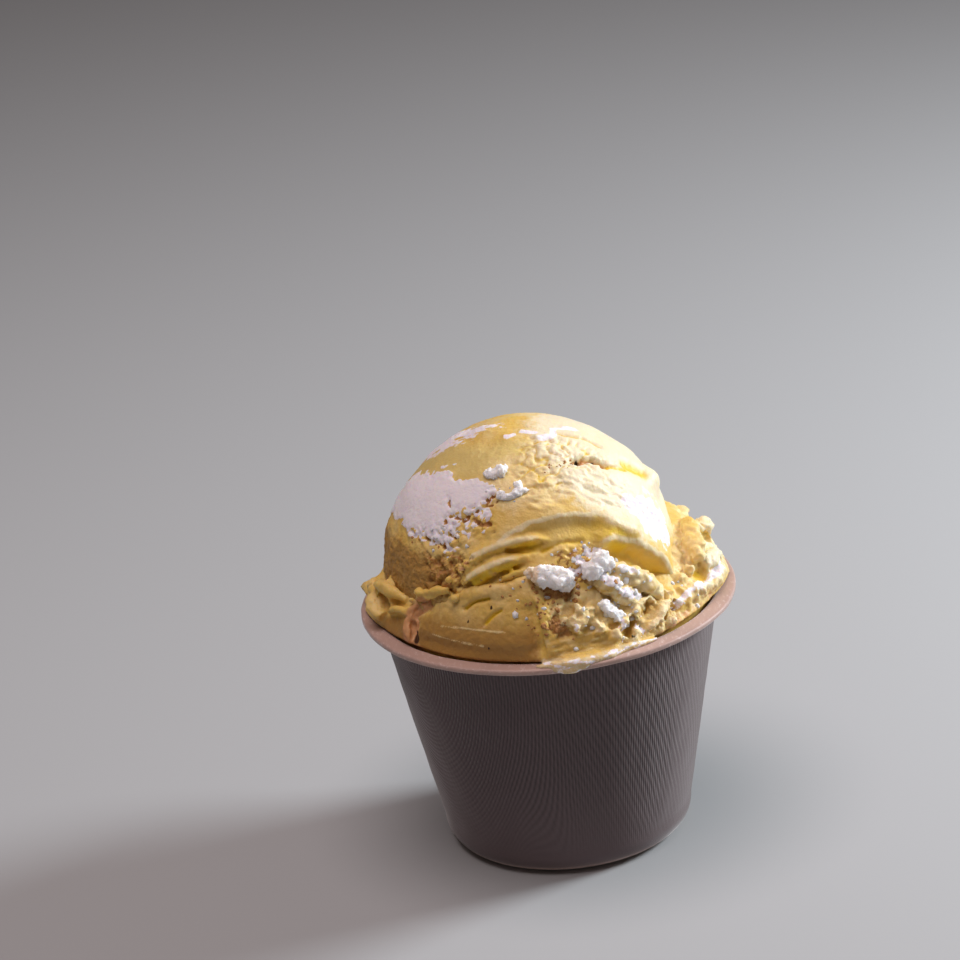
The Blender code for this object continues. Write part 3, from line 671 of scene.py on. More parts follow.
# The relief of a lip, how far a place is on its face, and how near it is to the lip's edge.
def lipShape(points, lip):
    away, along, side = nearLine(scoopFlat(points), smoothLine(flatOutline(lip["line"]), 48))
    away = away * side + 0.45 * lumps(points, 2.8, 17) + 0.18 * lumps(points, 1.2, 18)
    ends = fade(along * 8) * fade((1 - along) * 8)
    lipHigh = lip["proud"] * bell(np.maximum(away, 0) / lip["back"])
    drop = lip["proud"] - (lip["proud"] + lip["hollow"]) * fade(-away / lip["face"])
    relief = np.where(away > 0, lipHigh, drop * (1 - fade((-away - lip["face"]) / lip["below"])))
    middle = lip["face"] + 0.25 * lip["below"]
    onFace = np.exp(-((away + middle) / (middle * 0.85)) ** 4) * fade(-away / 1.2)
    start, end = lip["gold"]
    onFace *= start + (end - start) * fade((along - 0.5) / 0.35)
    return relief * ends, onFace * ends, bell((away - 0.2) / 0.65) * ends


def scoopRelief(unit):
    surface = unit * scoop["radius"]
    height = scoop["sway"] * lumps(surface, scoop["swaySize"], 1)
    height += scoop["grain"] * lumps(surface, scoop["grainSize"], 2)
    for fold in scoopFolds.values():
        out, along, across = scoopAxes(fold["at"], fold["turn"])
        height -= fade(3 * (unit @ out) - 0.6) * hollowDepth(surface @ along, surface @ across, fold)
    for lip in scoopLips.values():
        height += lipShape(surface + scoop["centre"], lip)[0]
    for at, high, reach in scoopSwells:
        away = np.linalg.norm(surface - direction(*at) * scoop["radius"], axis=1)
        height += high * bell(away / reach)
    return height * fade((unit[:, 2] * scoop["radius"] - scoop["buried"]) / scoop["buryFade"])


def scoopFlat(points):  # places on the scoop laid flat, in millimetres
    unit = points - scoop["centre"]
    unit /= np.linalg.norm(unit, axis=1)[:, None]
    lat = np.arcsin(np.clip(unit[:, 2], -1, 1))
    lon = np.arctan2(unit[:, 0], -unit[:, 1])
    return np.stack([lon * np.cos(lat), lat], 1) * scoop["radius"]


def flatOutline(places):  # the same for an outline of longitudes and latitudes
    return [(radians(lon) * cos(radians(lat)) * scoop["radius"], radians(lat) * scoop["radius"])
            for lon, lat in places]


# Where the scoop's tones and textures lie, as outlines and lines of longitude and latitude.
scoopMarks = dict(
    whitePatch=[(-101, 30), (-98, 40), (-88, 47), (-64, 53), (-42, 53), (-30, 54), (-14, 50),
                (-15, 46.5), (-27, 43),
                (-29, 37), (-34, 33), (-35, 25), (-46, 26), (-58, 26), (-73, 28), (-88, 26)],
    sidePatch=[(50, 36), (60, 35), (70, 31), (76, 20), (74, 8), (64, 8), (56, 15), (50, 26)],
    flank=[(-115, 24), (-90, 24), (-60, 25), (-38, 24), (-30, 12), (-36, 2), (-60, -4), (-100, -4),
           (-120, 4)],
    front=[(-40, 60), (-26, 40), (-12, 34), (30, 40), (60, 40), (60, 70), (-20, 74)],
    wrinkles=[(-12, 50), (10, 55), (40, 52), (66, 42), (60, 28), (44, 30), (24, 40), (2, 38)],
    crest=[(-104, 40), (-84, 54), (-66, 70), (-40, 82), (-10, 84), (40, 88), (-150, 86), (-140, 50)],
    caves=[(-50, 24), (-30, 28), (-20, 22), (-26, 12), (-34, 4), (-50, 8)],
    patchRubble=[(-62, 31), (-48, 34), (-36, 44), (-18, 46), (-13, 36), (-22, 28), (-34, 22),
                 (-52, 22), (-66, 26)],
    rubble=[(-18, 20), (-4, 17), (6, 24), (18, 27), (30, 24), (38, 12), (44, 0), (44, -12), (10, -12),
            (-8, 4), (-16, 10)],
    upperRubble=[(-6, 66), (6, 70), (34, 62), (34, 56), (10, 54), (-4, 56)],
    crusty=[(-14, 60), (-6, 76), (30, 80), (66, 70), (70, 54), (56, 47), (26, 46), (0, 44)],
    orange=[(10, 68), (24, 74), (50, 70), (66, 60), (50, 56), (28, 60)])
scoopLines = dict(
    crestLow=([(-20, 78), (10, 81), (30, 78)], 1.3),
    crestRight=([(30, 74), (46, 73), (70, 74), (80, 68)], 1.4),
    thin=([(-68, 55), (-60, 58), (-52, 61)], 0.6))
oliveBand = ([(-104, 46), (-72, 58), (-45, 62), (-18, 66), (10, 66), (26, 62)], 5.5)
creamCap = dict(at=(80, 48), wide=50, soft=24)  # the pale right side: partly the gelato's own cream, partly painted light where the lamp falls; in degrees
fissureLine = [(39, 57.5), (43.5, 56.4), (49, 56.0), (54, 54.2), (57.5, 51.5), (58, 49)]
# Holes along the fissure: where and how wide; they are dug in and painted dark as their shadow.
fissureHoles = [((43.2, 56.2), 0.85), ((55, 53.6), 0.65)]
whiteTops = [([(19, 19, 1.5), (23, 15.0, 3.6), (26, 12.0, 4.9), (30, 7.8, 5.8), (34, 3.8, 6.0),
               (37, 0.5, 5.8)], 1.9),
             ([(26, 17.0, 2.6), (31, 14.2, 3.8), (37, 10.0, 4.5), (42, 6.0, 4.7)], 0.9)]
# Cracks: lines of longitude and latitude, and widths. They are dug in and painted gold as the shade in
# them.
goldCracks = [([(11, 62), (15, 61), (19, 57.5)], 0.55), ([(25, 58.6), (31, 58), (37, 56.8)], 0.5),
              ([(18, 72), (28, 71.5), (38, 70.5)], 0.6), ([(58, 74), (63, 69), (71, 62), (72, 56)], 0.6),
              ([(60, 48.5), (66, 45.5), (70, 43)], 0.9), ([(73, 44), (76.5, 40.5), (80, 36)], 2.0),
              ([(-2, 57), (8, 56), (16, 54.5)], 0.4), ([(5, 25), (14, 26.5), (22, 25.5)], 0.7)]
patchCracks = [([(-45, 45), (-42.5, 40), (-42, 33)], 0.6), ([(-41, 37), (-37, 38), (-31, 37)], 0.65),
               ([(-31, 37.5), (-27, 40.5), (-21, 43.5), (-16, 44.5)], 0.5), ([(-38, 31), (-33, 29)], 0.5),
               ([(-27, 38), (-23, 36), (-19, 37)], 0.8), ([(-53, 27), (-48, 27)], 0.6),
               ([(-45, 27), (-40, 26)], 0.6), ([(-15, 33), (-13, 32)], 0.5), ([(-22, 46), (-17, 47)], 0.5)]


def makeUpperScoop():
    unit, faces = roundShell(scoop["level"])
    points = unit * (scoop["radius"] + scoopRelief(unit))[:, None] + scoop["centre"]
    points[:, 2] = np.maximum(points[:, 2], scoop["seat"])
    shells = [(points, faces)]
    shells += [foldShell(fold, scoopPlace(fold), seed) for seed, fold in enumerate(scoopFolds.values())]
    shells += [ropeShell([onScoop(*spot) for spot in line], radii, seed + 12, 0.28)
               for seed, (line, radii) in enumerate(scoopRopes)]
    mesh = fuseShells("upperGelato", shells, scoop["voxel"])
    smoothMesh(mesh, 1)
    points, normals = meshPoints(mesh)
    flat, hollow = scoopFlat(points), creases(mesh, 10)
    zones = {name: insideOutline(flat, flatOutline(outline)) for name, outline in scoopMarks.items()}

    def away(line, count=24):
        return nearLine(points, smoothLine([onScoop(*spot) for spot in line], count))[0]
    fine, mid = billows(points, 1.5, 5), billows(points, 3.2, 6)
    ragged = 1.6 * lumps(points, 2.6, 7) + 0.9 * lumps(points, 1.1, 8)
    torn = np.abs(ragged)
    white = fade(0.5 + (zones["whitePatch"] + ragged) / 1.2)
    # Painted highlight: the white spot on the right side where the lamp falls brightest.
    side = fade(0.5 + (zones["sidePatch"] + 1.5 * ragged) / 4.0)
    flank = fade((zones["flank"] + 1.5 + 1.5 * ragged) / 6.0)
    wrinkled = fade((zones["wrinkles"] + 1.0) / 4.0)
    orange = fade((zones["orange"] + ragged) / 3.0)
    ridges = most(*(fade((max(radii) + 0.7 - away(line)) / 0.7) for line, radii in scoopRopes[-2:]))
    inPatch, inRubble, inUpper, inCaves = (
        fade((zones[name] + ragged) / 2.5) for name in ("patchRubble", "rubble", "upperRubble", "caves"))
    inRubble *= 1 - 0.7 * ridges
    crumbly = most(inPatch, inRubble, 0.3 * inUpper, inCaves)
    bigBits, bigTone = pebbles(points, 2.3, 21, crumbly)
    bits, bitTone = pebbles(points, 1.1, 22, crumbly)

    # The folds and lips: what lies under them, their edges, the folds themselves and the faces of the lips.
    under, lips, bodies, faces = np.zeros((4, len(points)))
    surface = (points - scoop["centre"]) / np.linalg.norm(points - scoop["centre"], axis=1)[:, None]
    place = surface * scoop["radius"]
    for fold in scoopFolds.values():
        out, along, across = scoopAxes(fold["at"], fold["turn"])
        facing = fade(3 * (surface @ out) - 0.6) * (0.35 if out[1] > 0 else 1.0)
        shade, lip, body = (tone * facing for tone in foldTones(place @ along, place @ across, fold))
        under, lips, bodies = most(under, shade), most(lips, lip), most(bodies, body)
    under *= 1 - bodies
    for lip in scoopLips.values():
        _, face, edge = lipShape(place + scoop["centre"], lip)
        face *= 1 - ridges
        under, lips, faces = most(under * (1 - edge), face), most(lips, 1.2 * edge), most(faces, face)

    # Tones along lines and in patches.
    capAway = np.degrees(np.arccos(np.clip(surface @ direction(*creamCap["at"]), -1, 1)))
    cream = fade((creamCap["wide"] + 2.5 * ragged - capAway) / creamCap["soft"])
    combed = points @ np.stack(scoopAxes((-70, 70), 38), 1) * (1, 0.22, 1)
    streaky = lumps(combed, 1.5, 14) + 0.6 * lumps(combed, 0.7, 15)
    streaks = most(fade((zones["crest"] + 1.0) / 4.0) * fade(0.5 + 1.6 * (streaky + 0.3)),
                   *(fade(1.2 - (away(line) + 0.5 * ragged + 0.5 * streaky) / width)
                     for line, width in scoopLines.values()))
    olive = fade(1.5 - away(oliveBand[0]) / oliveBand[1]) * (1 - white)
    gap, along, _ = nearLine(points, smoothLine([onScoop(*spot) for spot in fissureLine], 40))
    width = 0.9 + 0.25 * np.sin(along * 23) + 0.25 * ragged
    fissure = bell((gap + 0.3 * torn) / np.maximum(width, 0.3))
    tops = most(*(fade(1.35 - (away(line) + 0.55 * ragged) / width) for line, width in whiteTops))
    golden = most(0.8 * fissure, *(bell((away(line, 16) + 0.35 * torn) / width) * min(width + 0.3, 1)
                                   for line, width in goldCracks))
    holes = most(*(bell(np.linalg.norm(points - onScoop(*at), axis=1) / reach)
                   for at, reach in fissureHoles))
    cracks = most(*(bell((away(line, 16) + 0.45 * torn + 0.5 * fine - 0.3) / width)
                    for line, width in patchCracks))
    whole = 1 - fade(2.2 * cracks - 0.7)
    crusty = fade((zones["crusty"] + ragged) / 3.0) * (1 - white)
    crust = fade((billows(points * (1, 1, 1.3), 3.6, 19) - 0.66) / 0.34)
    crust += 0.35 * fade((billows(points, 1.6, 20) - 0.7) / 0.3)
    leaning = points @ np.stack(scoopAxes((30, 42), -35), 1) * (1, 0.35, 1)
    ripples = lumps(leaning, 0.9, 9) * 0.5 + lumps(leaning, 1.7, 10)
    caves = fade((lumps(points, 1.5, 12) - 0.05) * 4) * fade((zones["caves"] + 1.5 * ragged) / 3.0)

    height = 0.07 * fine + 0.10 * lumps(points, 4.0, 11)
    height += 0.35 * white - 0.25 * white * fade(1 - zones["whitePatch"] / 2.5) * (1 - fine)
    height += flank * (0.30 * mid + 0.30 * fine) - 1.1 * caves
    height += crusty * (0.22 * (mid - 0.5) + 0.2 * (fine - 0.5) - 0.45 * crust) + 0.3 * ridges * (mid - 0.5)
    height += 0.6 * wrinkled * ripples + 0.12 * streaks - 1.3 * fissure - 0.9 * golden
    height -= 2.2 * holes + 1.0 * cracks + 0.3 * side * fade(lumps(points, 1.2, 13) * 2)
    height += 0.3 * orange * mid + 0.15 * bodies * (mid - 0.5)
    height += crumbly * (0.9 * (bigBits - 0.55) + 0.55 * (bits - 0.5)) + 0.35 * tops * fine
    points += normals * (height * fade((points[:, 2] - 60) / 8))[:, None]
    points[:, 2] = np.minimum(points[:, 2], cadBox[1].z / mm)
    setPoints(mesh, points)

    # Painted shade: gold in creases, under the folds, on the lip faces, in the cracks, in the hollows of
    # the crust and between the lumps of the orange patch.
    deep = most(fade(hollow * 1.5), 0.95 * under) * (1 - white) + 0.35 * orange * (1 - fine)
    deep *= 1 - 0.8 * crumbly
    low = crumbly * fade(1.5 - 1.7 * bits) * (1 - 0.7 * inPatch)
    # The upper front, painted paler as the light that falls there.
    zoneUpper = fade((zones["front"] + 2 + ragged) / 8.0)
    whiteBits = crumbly * np.where(bigTone + 0.4 * bitTone > 0.92, 0.9, 0.0) * (1 - inCaves) * whole
    brownBits = (bitTone < 0.3) * (inRubble + 0.5 * inCaves + 0.3 * inPatch)
    white *= (1 - inPatch * (bitTone < 0.25)) * whole
    paint(mesh, olive=olive, dark=2.0 * holes, pink=0.8 * fissure,
          # white: the meringue patch, streaks and bits, and the painted highlight on the right side.
          white=most(white, 0.8 * streaks, 0.8 * side, whiteBits, 0.75 * tops),
          # Painted light: cream on the lit right side, the lip edges and the ridges facing the lamp; on the
          # right side it is partly the gelato's own cream.
          cream=most(cream, 0.45 * lips, 0.5 * ridges), deep=most(deep, golden, 0.65 * crusty * crust),
          # Tan on the flank, in the low places of the upper rubble, and as painted shade in the creases of
          # the ripples.
          tan=most(flank * 0.8, 0.5 * wrinkled * fade(-1.2 * ripples - 0.15), 0.55 * inUpper * (1 - mid)),
          porous=most(flank, 0.6 * cracks),
          # Painted light: paler on the lit upper front, the wrinkled band, the lip edges and the lip faces.
          pale=most(0.6 * wrinkled, 0.6 * zoneUpper, 0.9 * lips, 0.6 * faces),
          crumb=most(0.55 * fissure, 1.3 * cracks, 0.7 * caves, 0.75 * low, 0.6 * brownBits))
    return makePiece("upperGelato", mesh, gelato, ["upper_scoop"])


upper = makeUpperScoop()
print("upper scoop made:", len(upper.data.polygons), "faces")

# The lower gelato: how high it climbs the upper scoop, how far it swells over the rim and how far it
# stands back from the wall, by azimuth from the front in degrees, positive to the right.
heap = dict(neck=30.0, clear=0.45, girth=38.0, slant=1.25, curve=0.85, belly=0.62, lowClimb=0.06,
            slackFloor=53.2, slackFade=6.0, floor=52.0, steps=280, rows=24, voxel=0.42, sway=0.5,
            swaySize=15.0)
heapShape = np.array((
    (-180, 72.0, 41.4, 0.0), (-150, 70.5, 41.2, 0.0), (-125, 70.0, 42.0, 0.0), (-105, 71.0, 43.4, 0.0),
    (-88, 73.0, 44.0, 0.0), (-70, 74.5, 41.6, 0.9), (-45, 77.0, 40.4, 0.4), (-20, 81.0, 41.0, 0.0),
    (0, 81.0, 42.2, 0.0), (15, 78.0, 42.4, 0.0), (30, 74.0, 41.4, 0.0), (50, 71.5, 40.2, 0.8),
    (70, 73.5, 41.0, 0.8), (90, 76.8, 43.8, 0.0), (110, 77.0, 43.6, 0.0), (130, 75.5, 42.4, 0.0),
    (155, 73.0, 41.2, 0.0), (180, 72.0, 41.4, 0.0)))  # azimuth, top, edge, slack
heapFolds = foldTable({
    "slabEdge": ((-4, 69.0), -84, 8.5, 0.6, 2.0, 5.0, 1.4, 3.4),
    "slabTop": ((-26, 76.0), 14, 12.0, 1.2, 1.2, -4.4, 1.0, 2.0),
    "leftCleft": ((-54, 66.0), 98, 7.0, 0.6, 1.0, 5.0, 1.0, 1.8),
    "leftPetal": ((-76, 69.0), -30, 6.5, 1.6, 2.8, 2.6, 1.2, 1.8),
    "petalLow": ((-80, 65.5), -20, 6.0, 1.4, 2.6, 2.6, 1.2, 1.8),
    "leftBulb": ((-93, 67.2), -56, 6.0, 1.4, 2.4, 3.4, 1.0, 1.8),
    "leftString": ((-52, 73.5), 18, 8.0, 0.4, 2.0, 2.8, 0.8, 1.8),
    "rightFurrow": ((94, 71.2), -60, 6.2, 0.8, 1.6, 3.2, 2.4, 2.8),
    "rightCrest": ((116, 70.0), -28, 8.0, 1.0, 1.8, 3.4, 2.0, 2.8),
    "cragRib": ((30, 66.5), 24, 8.5, 1.2, 2.2, 3.0, 1.6, 2.4),
    "cragRibLow": ((42, 64.5), 16, 7.0, 1.0, 2.0, 2.6, 1.2, 2.0),
    "backWave": ((150, 67.5), 12, 15.0, 3.0, 1.8, 5.0, 1.4, 3.4),
    "backLeft": ((-140, 66.5), -8, 13.0, 2.0, 1.6, 4.0, 1.2, 3.0),
})


def byAzimuth(azimuth, column):
    return np.interp(azimuth, heapShape[:, 0], heapShape[:, column])


def heapSurface(azimuth, share):  # share runs from the neck (0) to the edge (1)
    top, edge = byAzimuth(azimuth, 1), byAzimuth(azimuth, 2)
    foot = cup["height"] + heap["clear"]
    radius = heap["neck"] + (edge - heap["neck"]) * share ** heap["belly"]
    height = foot + (top - foot) * (1 - share) ** heap["curve"]
    return ringAt(radius, np.radians(azimuth), height)


def onHeap(azimuth, height, out=0.0):
    foot = cup["height"] + heap["clear"]
    tall = byAzimuth(azimuth, 1) - foot
    climb = (height - foot) / tall
    if climb < heap["lowClimb"]:
        climb = heap["lowClimb"] * exp(climb / heap["lowClimb"] - 1)
    angle = radians(azimuth)
    point = heapSurface(azimuth, 1 - min(climb, 1.0) ** (1 / heap["curve"]))
    over = max(climb - 1, 0.0) * tall
    outward = np.array((sin(angle), -cos(angle), 0.35))
    return point + np.array((-sin(angle) * over * 0.5, cos(angle) * over * 0.5, over * 0.6)) + outward * out


def heapPlace(fold):
    along, across = turnedAxes(fold["turn"], *np.eye(2))

    def place(u, v):
        side, up = along * u + across * v
        return onHeap(fold["at"][0] + degrees(side / heap["girth"]), fold["at"][1] + up / heap["slant"])
    return place


def heapRows():
    inner, top = cup["wall"] + heap["clear"], cup["height"] + heap["clear"]
    azimuth = np.linspace(-180, 180, heap["steps"], endpoint=False)
    angle, tops = np.radians(azimuth), byAzimuth(azimuth, 1)
    rows = [ringAt(8.0, angle, tops.mean()), ringAt(20.0, angle, tops)]
    rows += [heapSurface(azimuth, share) for share in np.linspace(0, 1, heap["rows"])]
    lowBend = top - cup["lipBend"] * 1.8
    side = bent((wallRadius(top, inner) + cup["lipBend"], top), (wallRadius(top, inner), top - 0.1),
                (wallRadius(lowBend, inner), lowBend), 4)
    lower = (57.0, 55.0, heap["slackFloor"], heap["floor"])
    side += [(wallRadius(height, inner), height) for height in lower]
    for radius, height in side:
        slack = byAzimuth(azimuth, 3) * fade((height - heap["slackFloor"]) / heap["slackFade"])
        rows.append(ringAt(radius - slack, angle, height))
    rows.append(ringAt(12.0, angle, heap["floor"]))
    return rows


def heapRelief(points, azimuth):
    height = heap["sway"] * lumps(points, heap["swaySize"], 22)
    for fold in heapFolds.values():
        around = (azimuth - fold["at"][0] + 180) % 360 - 180
        up = (points[:, 2] - fold["at"][1]) * heap["slant"]
        place = np.stack([np.radians(around) * heap["girth"], up], 1)
        along, across = turnedAxes(fold["turn"], *np.eye(2))
        height -= hollowDepth(place @ along, place @ across, fold)
    return height


# Ropes and knobs of the lower gelato: azimuths, radii from the axis and heights, with radii along them.
heapRopes = [
    ([(-83, 40.6, 68.0), (-77, 40.4, 70.4), (-70, 39.2, 71.2), (-62, 37.2, 69.9)], (1.9, 1.8, 1.4, 0.8)),
    ([(-79, 41.6, 68.2), (-75, 42.0, 66.4), (-71, 41.4, 64.6)], (2.0, 2.3, 1.7)),
    ([(-69, 40.2, 66.4), (-63, 39.8, 68.0), (-57, 38.6, 68.6)], (0.7, 0.9, 0.7)),
    ([(-96, 42.4, 64.4), (-92, 41.6, 66.2), (-90, 40.4, 68.2)], (2.0, 2.3, 1.6)),
    ([(-54.5, 37.0, 72.9), (-51, 37.1, 73.2), (-47, 36.8, 74.0), (-43, 36.4, 75.2), (-38, 36.0, 75.8)],
     (1.6, 1.4, 1.2, 1.1, 0.9)),
    ([(50, 37.6, 63.8), (56, 38.0, 65.0), (63, 38.6, 65.2), (71, 39.4, 64.8), (79, 40.4, 64.6),
      (88, 41.0, 64.6)],
     (1.4, 2.1, 2.2, 2.2, 2.4, 1.6)),
    ([(74, 38.4, 68.2), (80, 39.4, 67.8), (88, 40.2, 67.2)], (1.5, 2.1, 1.5)),
    ([(97, 39.0, 71.5), (104, 40.0, 70.0), (113, 40.6, 69.4)], (1.6, 2.2, 1.4)),
    ([(70, 38.3, 70.8), (76, 36.5, 72.6), (83, 35.4, 74.4), (90, 34.6, 75.6)], (1.6, 2.0, 1.8, 1.3)),
]
heapKnobs = [(-38, 36.2, 78.6, 0.8), (-36, 36.8, 75.2, 0.9), (-57, 38.0, 71.6, 0.8), (66, 37.0, 69.6, 1.3),
             (31, 38.0, 66.6, 2.3), (30.5, 36.6, 69.0, 1.8), (37, 39.3, 63.6, 2.4), (43, 39.4, 62.9, 2.0),
             (21, 40.3, 64.2, 2.3), (27, 40.2, 63.6, 1.9), (39, 36.4, 68.0, 1.7), (44.5, 38.2, 65.0, 1.9),
             (11.5, 37.2, 71.0, 2.5), (8.5, 38.8, 68.5, 2.6), (3.5, 39.0, 69.0, 1.8), (16, 39.4, 67.2, 2.3),
             (60, 35.8, 68.2, 1.9), (56, 36.6, 66.8, 1.3), (50, 36.6, 67.6, 1.5), (24, 38.2, 68.0, 1.6)]
drip = [([(-6, 43.6, 61.3), (1, 44.0, 61.4), (9, 43.9, 61.5), (17, 43.4, 61.5), (23, 42.6, 61.5)],
         (0.5, 1.1, 1.25, 1.0, 0.5)),
        ([(-4, 42.2, 61.6), (4, 42.4, 61.9), (12, 42.4, 61.9), (21, 42.2, 61.7), (30, 42.0, 61.5),
          (35, 41.8, 61.4)],
         (0.6, 1.1, 1.2, 1.0, 0.7, 0.4)),
        ([(-1, 44.7, 60.6), (4, 44.8, 60.0), (10, 44.7, 60.6)], (0.4, 0.75, 0.5))]
# Hollows among the lumps: azimuth, radius, height, reach and depth, then how much painted gold shade
# and how much painted brown shade lie in them.
heapHollows = [(70, 38.6, 68.0, 2.4, 1.8, 1.0, 0.0), (47, 39.6, 63.2, 1.5, 1.6, 0.2, 0.9),
               (26, 40.8, 64.6, 1.3, 1.2, 0.5, 0.6), (31, 39.6, 65.0, 1.0, 1.2, 0.5, 0.6),
               (12, 37.6, 72.4, 1.3, 1.0, 0.4, 0.7), (82, 36.4, 71.6, 1.6, 1.0, 0.9, 0.0),
               (20, 39.6, 66.2, 1.2, 1.0, 0.4, 0.6), (38, 38.4, 65.6, 1.1, 1.1, 0.8, 0.2),
               (54, 38.4, 66.8, 1.1, 1.0, 0.6, 0.5)]
heapMarks = dict(
    slab=[(-52, 60), (-52, 68), (-45, 72), (-37, 75), (-26, 78.5), (-16, 80), (-6, 79), (-3, 75), (-3, 60)],
    crags=[(-2, 75), (12, 77), (26, 74), (40, 72), (52, 70), (54, 61), (20, 61), (-1, 61)],
    layers=[(-4, 67.5), (6, 68.5), (20, 67.5), (24, 61), (-4, 61)],
    brown=[(-2, 71.5), (4, 72.5), (6, 69), (9, 66.5), (2, 66), (-2, 67.5)],
    brownHigh=[(-6, 78), (4, 78), (12, 76), (9, 73), (-2, 74)],
    leftTan=[(-74, 60), (-72, 65), (-62, 67), (-54, 69), (-52, 60)],
    rightSide=[(50, 60), (54, 72), (80, 78), (130, 78), (130, 60)])
# The white top of the right rope and the shade below it, then lines on the gelato laid flat.
heapTops = ([(51, 38.8, 65.6), (57, 39.4, 67.0), (64, 40.0, 67.0), (72, 40.8, 66.6), (80, 41.8, 66.6)], 1.5)
heapShade = ([(46, 40.0, 62.4), (56, 40.2, 62.8), (64, 40.8, 62.8), (74, 41.6, 62.6)], 1.6)
heapLines = dict(
    crevice=([(-50, 71.5), (-53.5, 69.5), (-54.5, 66), (-53.5, 62), (-53, 60)], 2.3),
    slitHigh=([(-31, 72.2), (-27, 74.0), (-22, 74.9)], 0.55),
    slitLow=([(-22.5, 69.6), (-20, 71.4), (-17, 72.6)], 0.45),
    scratch=([(-45, 65.6), (-36, 65.2), (-23, 65.0)], 0.3),
    scratchHigh=([(-40, 67.6), (-30, 68.2), (-14, 68.2)], 0.3))
# Small holes laid flat: where and how wide; they are painted dark as their shadow.
heapSpots = (((-51.5, 63.4), 1.2), ((-20.6, 73.0), 0.36), ((-29, 69.7), 0.3), ((-21, 64.5), 0.3))


def heapFlat(points):
    azimuth = np.arctan2(points[:, 0], -points[:, 1])
    return np.stack([azimuth * heap["girth"], points[:, 2] * heap["slant"]], 1)


def heapOutline(places):
    return [(radians(azimuth) * heap["girth"], height * heap["slant"]) for azimuth, height in places]


def roundAxis(azimuth, radius, height):
    return ringAt(radius, radians(azimuth), height)


